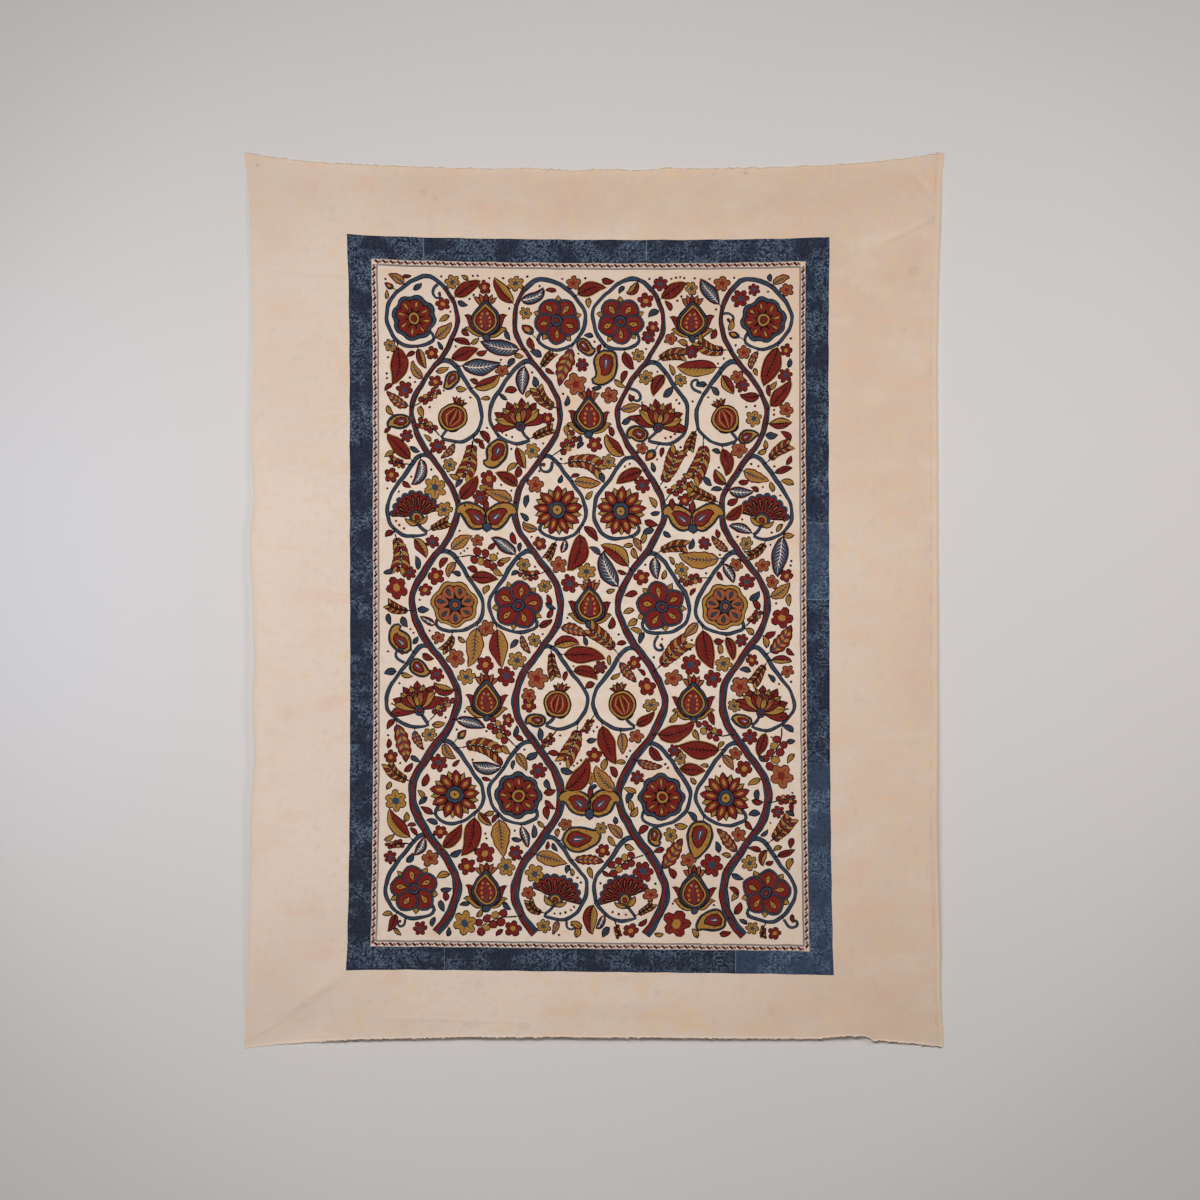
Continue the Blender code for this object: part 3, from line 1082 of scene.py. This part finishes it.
def cut_to_dyes(patches, rim, spacing, finest):
    """Flat points, triangles, each triangle's dye and the numbers of the rim's points."""
    points = []
    outlines = []
    count = 0
    for outline, dye in patches:
        outline = outline if area_of(outline) > 0 else outline[::-1]
        points.append(outline)
        outlines.append(list(range(count, count + len(outline))))
        count += len(outline)
    points.append(rim)
    laid, triangles, _, patches_over = joined_up(np.concatenate(points), [], outlines, 1e-6)
    a, b, c = (laid[triangles[:, corner]] for corner in range(3))
    covered = np.zeros(len(patches))
    for over, size in zip(patches_over, abs(((b - a) * np.conjugate(c - a)).imag) / 2):
        covered[over] += size
    dyes = np.full(len(triangles), BARE)
    for number, over in enumerate(patches_over):
        within = [patch for patch in over if covered[patch] < SPILT_AREA]
        if within:
            dyes[number] = patches[max(within)][1]
    met = straightened(laid, edges_between(triangles, dyes), finest)
    kept, met = np.unique(met, return_inverse=True)
    meeting, met = divided(laid[kept], met.reshape(-1, 2), spacing)

    across, up = np.meshgrid(np.arange(spacing, CLOTH_WIDTH - spacing / 2, spacing),
                             -np.arange(spacing, CLOTH_LENGTH - spacing / 2, spacing))
    middle = complex(CLOTH_WIDTH, -CLOTH_LENGTH) / 2
    inset = rim[::2] - middle
    inset = middle + inset - 2 * EDGE_BAND * (inset.real / CLOTH_WIDTH + 1j * inset.imag / CLOTH_LENGTH)
    points = np.concatenate([meeting, rim, (across + 1j * up).ravel(), inset])
    flat, faces, sources_of, _ = joined_up(points, met.tolist(), [], 1e-7)
    rim_points = np.zeros(len(rim), int)
    for number, sources in enumerate(sources_of):
        for source in sources:
            if len(meeting) <= source < len(meeting) + len(rim):
                rim_points[source - len(meeting)] = number
    sheet = BVHTree.FromPolygons([(point.real, point.imag, 0.0) for point in laid], triangles.tolist())
    middles = flat[faces].mean(axis=1)
    under = [sheet.ray_cast((at.real, at.imag, 1.0), (0.0, 0.0, -1.0))[2] for at in middles]
    dyes = np.array([BARE if number is None else dyes[number] for number in under])
    return flat, faces, dyes, rim_points


def hung(flat, rim_points, rim_fray, lift):
    """The cloth's flat points where they hang, a height above its back."""
    x, z = hung_place(2 * flat.real / CLOTH_WIDTH - 1, -flat.imag / CLOTH_LENGTH)
    z = z - unevenness(FOOT_TURN, x) * np.exp(-(flat.imag + CLOTH_LENGTH) / EDGE_FADE)
    x[rim_points] += rim_fray.real
    z[rim_points] += rim_fray.imag
    clear = stand_off(x, z)
    clear = clear + lifted(CREASES, x, z) * ease(clear / CLEAR_OF_WALL)
    aside = np.minimum(flat.real, CLOTH_WIDTH - flat.real)
    updown = np.minimum(-flat.imag, CLOTH_LENGTH + flat.imag)
    from_edge = np.minimum(aside, updown)
    clear = clear + EDGE_CURL * bell(from_edge, EDGE_BAND * 0.8) * ease(np.hypot(aside, updown) / HELD - 0.4)
    if lift == 0.0:
        clear = clear - BACK_SLACK * ease(from_edge / SLACK_FROM) * ease(clear / CLEAR_OF_WALL)
    return np.stack([x, -clear - lift, z], axis=1)


chance = np.random.default_rng(5)
top_rim = np.linspace(0, CLOTH_WIDTH, int(CLOTH_WIDTH / CUT_STEP) + 1) + 0j
side_rim = 1j * np.linspace(0, -CLOTH_LENGTH, int(CLOTH_LENGTH / SELVEDGE_STEP) + 1)
rim = np.concatenate([top_rim[:-1], CLOTH_WIDTH + side_rim[:-1],
                      top_rim[:0:-1] - 1j * CLOTH_LENGTH, side_rim[:0:-1]])
cut_edge = (rim.imag == 0) | (rim.imag == -CLOTH_LENGTH)
outward = np.where(rim.imag == 0, 1.0, -1.0)
rim_fray = chance.normal(0, FRAY, len(rim))
rim_fray += outward * (chance.random(len(rim)) < THREADS) * chance.uniform(0.3, 1.0, len(rim)) * THREAD_REACH
rim_fray = np.where(cut_edge, 1j * rim_fray, chance.normal(0, SELVEDGE_WAVER, len(rim)))
rim_fray[np.isin(rim, rim[[0, len(top_rim) - 1]])] = 0.0
for corner, worn_in in ((complex(CLOTH_WIDTH, -CLOTH_LENGTH), -0.45 + 0.45j), (CLOTH_WIDTH, -0.30 - 0.30j)):
    rim_fray += worn_in * WORN_CORNER * np.maximum(1.0 - abs(rim - corner) / WORN_CORNER, 0.0)

patches = [(on_cloth(outline), dye) for outline, dye in prints]
soaked = [(outline, dye) for outline, dye in patches if abs(area_of(outline)) > SOAKED_AREA]
flat, faces, dyes, front_rim = cut_to_dyes(patches, rim, LATTICE, FINEST)
back_flat, back_faces, back_dyes, back_rim = cut_to_dyes(soaked, rim, BACK_LATTICE, BACK_FINEST)
places = np.concatenate([hung(flat, front_rim, rim_fray, CLOTH_THICKNESS),
                         hung(back_flat, back_rim, rim_fray, 0.0)])
back_faces = back_faces[:, ::-1] + len(flat)
back_rim = back_rim + len(flat)
ahead = np.roll(np.arange(len(rim)), -1)
rim_faces = np.stack([front_rim, front_rim[ahead], back_rim[ahead], back_rim], axis=1)

corners = np.concatenate([faces.ravel(), back_faces.ravel(), rim_faces.ravel()])
sizes = np.concatenate([np.full(len(faces) + len(back_faces), 3), np.full(len(rim_faces), 4)])
starts = np.concatenate([[0], np.cumsum(sizes)[:-1]])
form = bpy.data.meshes.new("printed_cotton")
form.vertices.add(len(places))
form.vertices.foreach_set("co", places.ravel())
form.loops.add(len(corners))
form.loops.foreach_set("vertex_index", corners)
form.polygons.add(len(sizes))
form.polygons.foreach_set("loop_start", starts)
form.update(calc_edges=True)
form.validate()
form.shade_smooth()
form.set_sharp_from_angle(angle=math.radians(SHARP_BEND))
cloth = bpy.data.objects.new("printed_cotton", form)
bpy.context.collection.objects.link(cloth)

for name, on_front, on_back, on_rim in (("dye", dyes, back_dyes, 0.0), ("back", 0.0, 1.0, 0.5)):
    values = [np.broadcast_to(value, len(part)) for value, part in
              ((on_front, faces), (on_back, back_faces), (on_rim, rim_faces))]
    form.attributes.new(name, "FLOAT", "FACE").data.foreach_set("value", np.concatenate(values))
flat_places = np.concatenate([flat, back_flat])[corners]
flat_map = form.uv_layers.new(name="flat")
flat_map.data.foreach_set("uv", as_pairs(flat_places).ravel())
u, v = flat_places.real / CLOTH_WIDTH, 1 + flat_places.imag / CLOTH_LENGTH
in_back = np.arange(len(corners)) >= faces.size
in_rim = np.arange(len(corners)) >= faces.size + back_faces.size
rim_across = np.where(np.arange(len(corners)) % 4 < 2, *RIM_ON_MAP)
rim_up = (np.arange(len(corners)) // 4 + np.array([0, 1, 1, 0])[np.arange(len(corners)) % 4]) % (len(rim) + 1)
u = np.where(in_back, BACK_ON_MAP[0] - BACK_ON_MAP[1] * u, FRONT_ON_MAP * u)
u = np.where(in_rim, rim_across, u)
v = np.where(in_rim, 0.002 + 0.99 * rim_up / len(rim), v)
bake_map = form.uv_layers.new(name="OFBake")
bake_map.data.foreach_set("uv", np.stack([u, v], axis=1).ravel())
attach(cloth, "root")
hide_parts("cloth")


# The finish of the cotton
# Unbleached cotton warmed by its tannin bath, uneven where the bath pooled, with a few smudges and the
# holes of the stretching pins down its right selvedge. Painted shade and painted highlight run along the
# creases, with painted shade along the head and a painted shadow along the foot. The dyes have sunk in
# to a matt, slightly worn surface, and the indigo is mottled where its resist paste lay.


def linear(red, green, blue):
    """A colour seen as 0 to 255 in each of its parts, in the shader's own measure."""
    parts = (part / 255 for part in (red, green, blue))
    parts = [part / 12.92 if part < 0.04045 else ((part + 0.055) / 1.055) ** 2.4 for part in parts]
    return (*parts, 1.0)


class Tint:
    """A value in a finish. Sums on tints add Math nodes."""

    def __init__(self, finish, socket):
        self.finish = finish
        self.socket = socket

    def sum(self, operation, first, second=0.0):
        return self.finish.node("ShaderNodeMath", {"operation": operation}, {0: first, 1: second})

    def __add__(self, other):
        return self.sum("ADD", self, other)

    def __radd__(self, other):
        return self.sum("ADD", other, self)

    def __sub__(self, other):
        return self.sum("SUBTRACT", self, other)

    def __rsub__(self, other):
        return self.sum("SUBTRACT", other, self)

    def __mul__(self, other):
        return self.sum("MULTIPLY", self, other)

    def __rmul__(self, other):
        return self.sum("MULTIPLY", other, self)

    def __truediv__(self, other):
        return self.sum("DIVIDE", self, other)

    def above(self, low, high):
        """0 below one value and 1 above another, with a soft step between."""
        return self.finish.node("ShaderNodeMapRange", {"interpolation_type": "SMOOTHSTEP"},
                                {"Value": self, "From Min": low, "From Max": high})


class Finish:
    """A material and its nodes."""

    def __init__(self, name, roughness):
        self.material = bpy.data.materials.new(name)
        self.material.use_nodes = True
        self.nodes = self.material.node_tree.nodes
        self.links = self.material.node_tree.links
        self.shader = self.nodes["Principled BSDF"]
        self.shader.inputs["Roughness"].default_value = roughness
        self.shader.inputs["Metallic"].default_value = 0.0

    def feed(self, socket, value):
        if isinstance(value, Tint):
            self.links.new(value.socket, socket)
        else:
            socket.default_value = value

    def node(self, kind, settings=None, inputs=None, output=0):
        """Adds a node: its settings come first, then the values and links of its sockets."""
        node = self.nodes.new(kind)
        for name, value in (settings or {}).items():
            if name == "stops":
                ramp = node.color_ramp
                while len(ramp.elements) < len(value):
                    ramp.elements.new(0.5)
                for element, (place, colour) in zip(ramp.elements, value):
                    element.position = place
                    element.color = colour
            elif name == "interpolation":
                node.color_ramp.interpolation = value
            else:
                setattr(node, name, value)
        for name, value in (inputs or {}).items():
            self.feed(node.inputs[name], value)
        return Tint(self, node.outputs[output])

    def noise(self, place, scale, detail=3.0, rough=0.5, stretch=(1.0, 1.0, 1.0)):
        moved = self.node("ShaderNodeMapping", {}, {"Vector": place, "Scale": stretch})
        return self.node("ShaderNodeTexNoise", {}, {"Vector": moved, "Scale": scale, "Detail": detail,
                                                    "Roughness": rough})

    def mixed(self, share, first, second):
        """Two colours mixed."""
        return self.node("ShaderNodeMix", {"data_type": "RGBA"}, {0: share, 6: first, 7: second}, 2)

    def washed(self, colour, *washes):
        """A colour with others laid over it in turn, each with its share and its red, green and blue."""
        for share, *seen in washes:
            colour = self.mixed(share, colour, linear(*seen))
        return colour

    def band(self, value, middle, half, soft):
        """1 within half a width of a middle, fading to 0."""
        away = self.node("ShaderNodeMath", {"operation": "ABSOLUTE"}, {0: value - middle})
        return 1.0 - away.above(half - soft, half + soft)


COTTON = (220, 203, 189)
AGED = (206, 181, 160)
DYE_COLOURS = (
    # dye, red, green, blue
    (BARE, *COTTON),
    (INK, 17, 9, 9),
    (MADDER, 112, 29, 24),
    (MUSTARD, 156, 113, 53),
    (BLUE, 46, 60, 77),
    (RUST, 142, 77, 47),
    (DEEP, 84, 11, 15),
    (SMOKE, 142, 132, 127),
    (INDIGO, 34, 39, 54),
    (NIGHT, 27, 32, 46),
    (PALE, 50, 62, 81),
    (WASHED, 108, 122, 138),
)
SMUDGES = (
    # across and up the flat cloth from its upper left corner, radius, how dark
    (0.278, -0.040, 0.007, 0.55),
    (0.297, -0.049, 0.006, 0.45),
    (0.018, -0.016, 0.004, 0.70),
    (0.214, -0.094, 0.008, 0.25),
    (0.900, -0.268, 0.009, 0.25),
    (0.738, -0.009, 0.004, 0.55),
    (0.788, -0.008, 0.005, 0.60),
    (1.046, -0.272, 0.006, 0.30),
    (1.060, -0.180, 0.012, 0.30),
)
# Painted shade and painted highlight along the creases: a dark band with a pale band beside it.
CREASE_SHADING_MARKS = (
    # from x, y to x, y on the flat cloth, half width, how dark
    (0.0615, -1.358, 0.1434, -1.308, 0.0030, 0.24),
    (0.0142, -1.385, 0.0551, -1.367, 0.0018, 0.26),
    (1.0102, -0.134, 1.0826, -0.108, 0.0020, 0.26),
    (1.0543, -0.033, 1.0840, -0.070, 0.0020, 0.22),
    (0.0127, -0.182, 0.1589, -0.180, 0.0014, 0.12),
    (0.2200, -1.368, 0.4200, -1.376, 0.0014, 0.20),
)
PIN_PITCH = 0.0064       # between the marks left down the right selvedge by the stretching pins
PALEST = (0.36, -0.80)   # the least tanned place of the flat cloth, and how far the tan takes to deepen
TAN_REACH = (0.72, 0.80)

cotton = Finish("printed_cotton", 0.9)
cotton.shader.inputs["Specular IOR Level"].default_value = 0.12
place = cotton.node("ShaderNodeTexCoord", output=3)
flat_place = cotton.node("ShaderNodeUVMap", {"uv_map": "flat"})
parts = cotton.node("ShaderNodeSeparateXYZ", {}, {"Vector": flat_place})
across, up = (Tint(cotton, parts.socket.node.outputs[number]) for number in (0, 1))
dye = cotton.node("ShaderNodeAttribute", {"attribute_name": "dye"}, output=2)
back = cotton.node("ShaderNodeAttribute", {"attribute_name": "back"}, output=2)
stops = [(number / len(DYE_COLOURS), linear(*colour)) for number, *colour in DYE_COLOURS]
dyed = cotton.node("ShaderNodeValToRGB", {"stops": stops, "interpolation": "CONSTANT"},
                   {"Fac": (dye + 0.5) / len(DYE_COLOURS)})
printed = dye.above(0.4, 0.6)
stamped = dye.above(INDIGO - 0.6, INDIGO - 0.4)

aside = (across - PALEST[0]) / TAN_REACH[0]
above = (up - PALEST[1]) / TAN_REACH[1]
aged = (aside * aside + above * above).above(0.15, 1.15)
aged = aged * (0.50 + 0.50 * across.above(0.04, 0.34))
patchy = 0.50 + 0.50 * across.above(0.0, 0.20)
bath = cotton.noise(place, 4.2, 4.0, 0.55).above(0.36, 0.66)
ground = cotton.mixed(aged * 0.75 + bath * 0.25, linear(*COTTON), linear(*AGED))
pooled = cotton.noise(place, 15.0, 4.0, 0.6, (0.7, 1.0, 1.5))
dappled = cotton.noise(place, 44.0, 4.0, 0.65)
threads = cotton.noise(flat_place, 1.0, 2.0, 0.6, (26.0, 520.0, 1.0))
threads_up = cotton.noise(flat_place, 1.0, 2.0, 0.6, (520.0, 26.0, 1.0))
ground = cotton.washed(
    ground,
    (pooled.above(0.50, 0.72) * patchy * 0.60, 216, 178, 153),
    (pooled.above(0.48, 0.30) * 0.40, 216, 200, 184),
    (dappled.above(0.50, 0.70) * patchy * 0.55, 216, 186, 150),
    (dappled.above(0.48, 0.28) * patchy * 0.42, 198, 176, 160),
    (threads.above(0.50, 0.74) * 0.15, 192, 168, 148),
    (threads_up.above(0.50, 0.74) * 0.15, 226, 207, 190))
for at_x, at_y, radius, dark in SMUDGES:
    away = cotton.node("ShaderNodeVectorMath", {"operation": "DISTANCE"},
                       {0: flat_place, 1: (at_x, at_y, 0.0)}, 1)
    speckle = cotton.noise(flat_place, 420.0, 2.0, 0.6).above(0.46, 0.62)
    ground = cotton.washed(ground, ((1.0 - away.above(radius * 0.3, radius)) * speckle * dark, 120, 116, 120))
# Each crease gets a band of painted shade and, beside it, a band of painted highlight.
for from_x, from_y, to_x, to_y, half, dark in CREASE_SHADING_MARKS:
    start, along = Vector((from_x, from_y, 0.0)), Vector((to_x - from_x, to_y - from_y, 0.0))
    heading = along.normalized()
    side = Vector((-heading.y, heading.x, 0.0))
    run, aside = (cotton.node("ShaderNodeVectorMath", {"operation": "DOT_PRODUCT"},
                              {0: flat_place, 1: tuple(way)}, 1) - start.dot(way) for way in (heading, side))
    length = cotton.band(run, along.length / 2, along.length / 2, 0.025) * dark
    ground = cotton.washed(
        ground,
        (cotton.band(aside, 0.0, half, half * 2.5) * length, 180, 156, 136),
        (cotton.band(aside, half * 4, half, half * 2.5) * length, 228, 210, 194))

frayed = cotton.noise(flat_place, 1.0, 2.0, 0.6, (90.0, 260.0, 1.0))
left_selvedge = 1.0 - across.above(0.0030, 0.0065)
right_selvedge = across.above(CLOTH_WIDTH - 0.0075, CLOTH_WIDTH - 0.0050)
selvedges = (left_selvedge + right_selvedge) * frayed.above(0.30, 0.60)
stained = cotton.noise(place, 30.0, 3.0, 0.6).above(0.42, 0.62)
wander = cotton.noise(flat_place, 60.0, 2.0, 0.6) * 5.0
pins = cotton.node("ShaderNodeMath", {"operation": "SINE"}, {0: up * (2 * math.pi / PIN_PITCH) + wander})
pinned = cotton.band(across, CLOTH_WIDTH - 0.0062, 0.0006, 0.0012) * (1.0 - up.above(-1.16, -1.04))
ground = cotton.washed(
    ground,
    (selvedges * 0.45, 222, 192, 158),
    (cotton.band(across, CLOTH_WIDTH - 0.0100, 0.0004, 0.0030) * stained * 0.40, 166, 128, 98),
    (pins.above(0.20, 0.80) * pinned * 0.42, 140, 102, 72))
# The head gets pale threads and a painted shade along its outermost millimetre; the foot gets a pale line
# and, below it, a painted shadow.
head = up.above(-0.0045, -0.0030) * frayed.above(0.40, 0.60)
shaded = up.above(-0.0014, -0.0007) * frayed.above(0.40, 0.55)
foot = 1.0 - up.above(0.0038 - CLOTH_LENGTH, 0.0052 - CLOTH_LENGTH)
# Painted shadow along the foot's raw edge, deepest where threads stand out.
painted_foot_shadow = (1.0 - up.above(0.0014 - CLOTH_LENGTH, 0.0022 - CLOTH_LENGTH)) * across.above(0.10, 0.16)
ground = cotton.washed(
    ground,
    (head * 0.45, 222, 194, 156),
    (shaded * 0.50, 128, 112, 100),
    (foot * 0.55, 230, 210, 192),
    (painted_foot_shadow * (0.60 + 0.35 * frayed.above(0.35, 0.60)), 80, 64, 52))

brushed = cotton.noise(flat_place, 260.0, 3.0, 0.65)
uptake = cotton.noise(place, 70.0, 3.0, 0.6)
painted = cotton.washed(
    dyed,
    (uptake.above(0.48, 0.85) * 0.16, 140, 100, 80),
    (brushed.above(0.52, 0.80) * 0.16, 158, 124, 104),
    (brushed.above(0.46, 0.28) * 0.35, 20, 12, 12))

resist = cotton.noise(flat_place, 165.0, 2.5, 0.55)
curled = cotton.band(resist, 0.53, 0.018, 0.030)
clusters = cotton.noise(flat_place, 21.0, 3.0, 0.6) + up.above(-0.30, -0.24) * 0.05
haze = cotton.noise(flat_place, 70.0, 4.0, 0.65)
block = cotton.washed(
    dyed,
    (haze.above(0.44, 0.72) * (0.10 + 0.36 * clusters.above(0.42, 0.60)), 74, 92, 112),
    (curled * (0.14 + clusters.above(0.43, 0.60)) * 0.66, 128, 147, 166),
    (resist.above(0.44, 0.30) * 0.45, 26, 30, 42))
dyed = cotton.mixed(stamped, painted, block)

colour = cotton.mixed(printed, ground, dyed)
reverse = cotton.mixed(printed * 0.55, ground, dyed)
colour = cotton.mixed(back.above(0.3, 0.7), colour, reverse)
cotton.feed(cotton.shader.inputs["Base Color"], colour)

slubs = cotton.noise(flat_place, 1.0, 2.0, 0.5, (1900.0, 60.0, 1.0))
slubs_up = cotton.noise(flat_place, 1.0, 2.0, 0.5, (60.0, 1900.0, 1.0))
weave = cotton.node("ShaderNodeBump", {}, {"Strength": 0.25, "Distance": 0.0002, "Height": slubs + slubs_up})
cotton.feed(cotton.shader.inputs["Normal"], weave)
cloth.data.materials.append(cotton.material)


# The stage
# A pale wall that the cloth hangs on and a pale floor below the picture, lit by broad soft lights. The
# wall is see-through from behind, so that the back of the cloth can be looked at.

PIXEL = 0.001602         # metres of the wall that one pixel of the photograph spans
PHOTO_WIDTH = 1200
CLOTH_COLUMN = 594.5     # where the middle of the cloth's head lies in the photograph
HEAD_ROW = 170
CAMERA_AWAY = 3.4
CAMERA_X = (PHOTO_WIDTH / 2 - CLOTH_COLUMN) * PIXEL
CAMERA_Z = (HEAD_ROW - PHOTO_WIDTH / 2) * PIXEL
WALL_Y = 0.0012
FLOOR_Z = -2.40
STAGE_SIZE = 9.0
SENSOR = 36.0
LIT_PLACE = Vector((0, 0, -0.7))    # what the lights point at
CLOTH_MIDDLE = -0.66     # height round which the wall's painted light and painted shade vary

bpy.ops.mesh.primitive_plane_add(size=STAGE_SIZE, location=(0, WALL_Y, FLOOR_Z + STAGE_SIZE / 2),
                                 rotation=(math.pi / 2, 0, 0))
wall = bpy.context.object
wall.name = "wall"
bpy.ops.mesh.primitive_plane_add(size=STAGE_SIZE, location=(0, WALL_Y - STAGE_SIZE / 2, FLOOR_Z))
floor = bpy.context.object
floor.name = "floor"
for piece in (wall, floor):
    bpy.ops.object.select_all(action="DESELECT")
    piece.select_set(True)
    bpy.context.view_layer.objects.active = piece
    bpy.ops.object.transform_apply(location=True, rotation=True, scale=True)

paint = Finish("wall_paint", 0.9)
place = paint.node("ShaderNodeTexCoord", output=3)
shade = paint.noise(place, 0.9, 2.0, 0.5).above(0.3, 0.7)
parts = paint.node("ShaderNodeSeparateXYZ", {}, {"Vector": place})
aside, height = (Tint(paint, parts.socket.node.outputs[number]) for number in (0, 2))
# Painted shade darkens the wall away from the cloth's middle. A painted pool of light, with a slightly bluish
# tint of the paint, lightens it left of the middle.
painted_shade_distance = aside * aside + (height - CLOTH_MIDDLE) * (height - CLOTH_MIDDLE)
painted_light_left = aside.above(-0.35, -0.90) * paint.band(height, CLOTH_MIDDLE, 0.45, 0.40)
paint.feed(paint.shader.inputs["Base Color"], paint.washed(
    linear(206, 203, 201),
    (shade, 210, 206, 203),
    (painted_light_left, 214, 213, 216),
    (painted_shade_distance.above(0.9, 1.6) * 0.5, 200, 197, 196)))
behind = paint.node("ShaderNodeNewGeometry", output=6)
shadow_ray = paint.node("ShaderNodeLightPath", output=1)
clear = paint.node("ShaderNodeBsdfTransparent")
solid = Tint(paint, paint.shader.outputs[0])
unseen = paint.node("ShaderNodeMath", {"operation": "MAXIMUM"}, {0: behind, 1: shadow_ray})
seen = paint.node("ShaderNodeMixShader", {}, {0: unseen, 1: solid, 2: clear})
paint.links.new(seen.socket, paint.nodes["Material Output"].inputs["Surface"])
wall.data.materials.append(paint.material)

screed = Finish("floor_paint", 0.8)
place = screed.node("ShaderNodeTexCoord", output=3)
screed.feed(screed.shader.inputs["Base Color"],
            screed.mixed(screed.noise(place, 2.0), linear(205, 203, 200), linear(214, 212, 209)))
floor.data.materials.append(screed.material)

LIGHTS = (
    # name, x, y, z, size across, size up, power, colour
    ("key", -0.52, -2.1, -0.42, 2.0, 0.4, 40.2, (1.0, 0.995, 1.0)),
    ("fill", 1.6, -1.6, -0.20, 0.7, 0.4, 14.4, (1.0, 0.98, 0.96)),
    ("back", 0.5, 3.5, 0.5, 2.0, 2.0, 60.0, (1.0, 1.0, 1.0)),
)
for name, x, y, z, across, up, power, colour in LIGHTS:
    lamp = bpy.data.lights.new(name, "AREA")
    lamp.shape = "RECTANGLE"
    lamp.size = across
    lamp.size_y = up
    lamp.energy = power
    lamp.color = colour
    light = bpy.data.objects.new(name, lamp)
    light.location = (x, y, z)
    light.rotation_euler = (LIT_PLACE - Vector((x, y, z))).to_track_quat("-Z", "Y").to_euler()
    bpy.context.collection.objects.link(light)

world = bpy.data.worlds.new("room")
world.use_nodes = True
world.node_tree.nodes["Background"].inputs["Color"].default_value = (0.80, 0.80, 0.81, 1.0)
world.node_tree.nodes["Background"].inputs["Strength"].default_value = 0.08
bpy.context.scene.world = world

lens = bpy.data.cameras.new("camera")
lens.sensor_fit = "HORIZONTAL"
lens.sensor_width = SENSOR
lens.lens = SENSOR * CAMERA_AWAY / (PHOTO_WIDTH * PIXEL)
camera = bpy.data.objects.new("camera", lens)
camera.location = (CAMERA_X, -CAMERA_AWAY, CAMERA_Z)
camera.rotation_euler = (math.pi / 2, 0, 0)
bpy.context.collection.objects.link(camera)
bpy.context.scene.camera = camera
bpy.context.scene.view_settings.view_transform = "Standard"
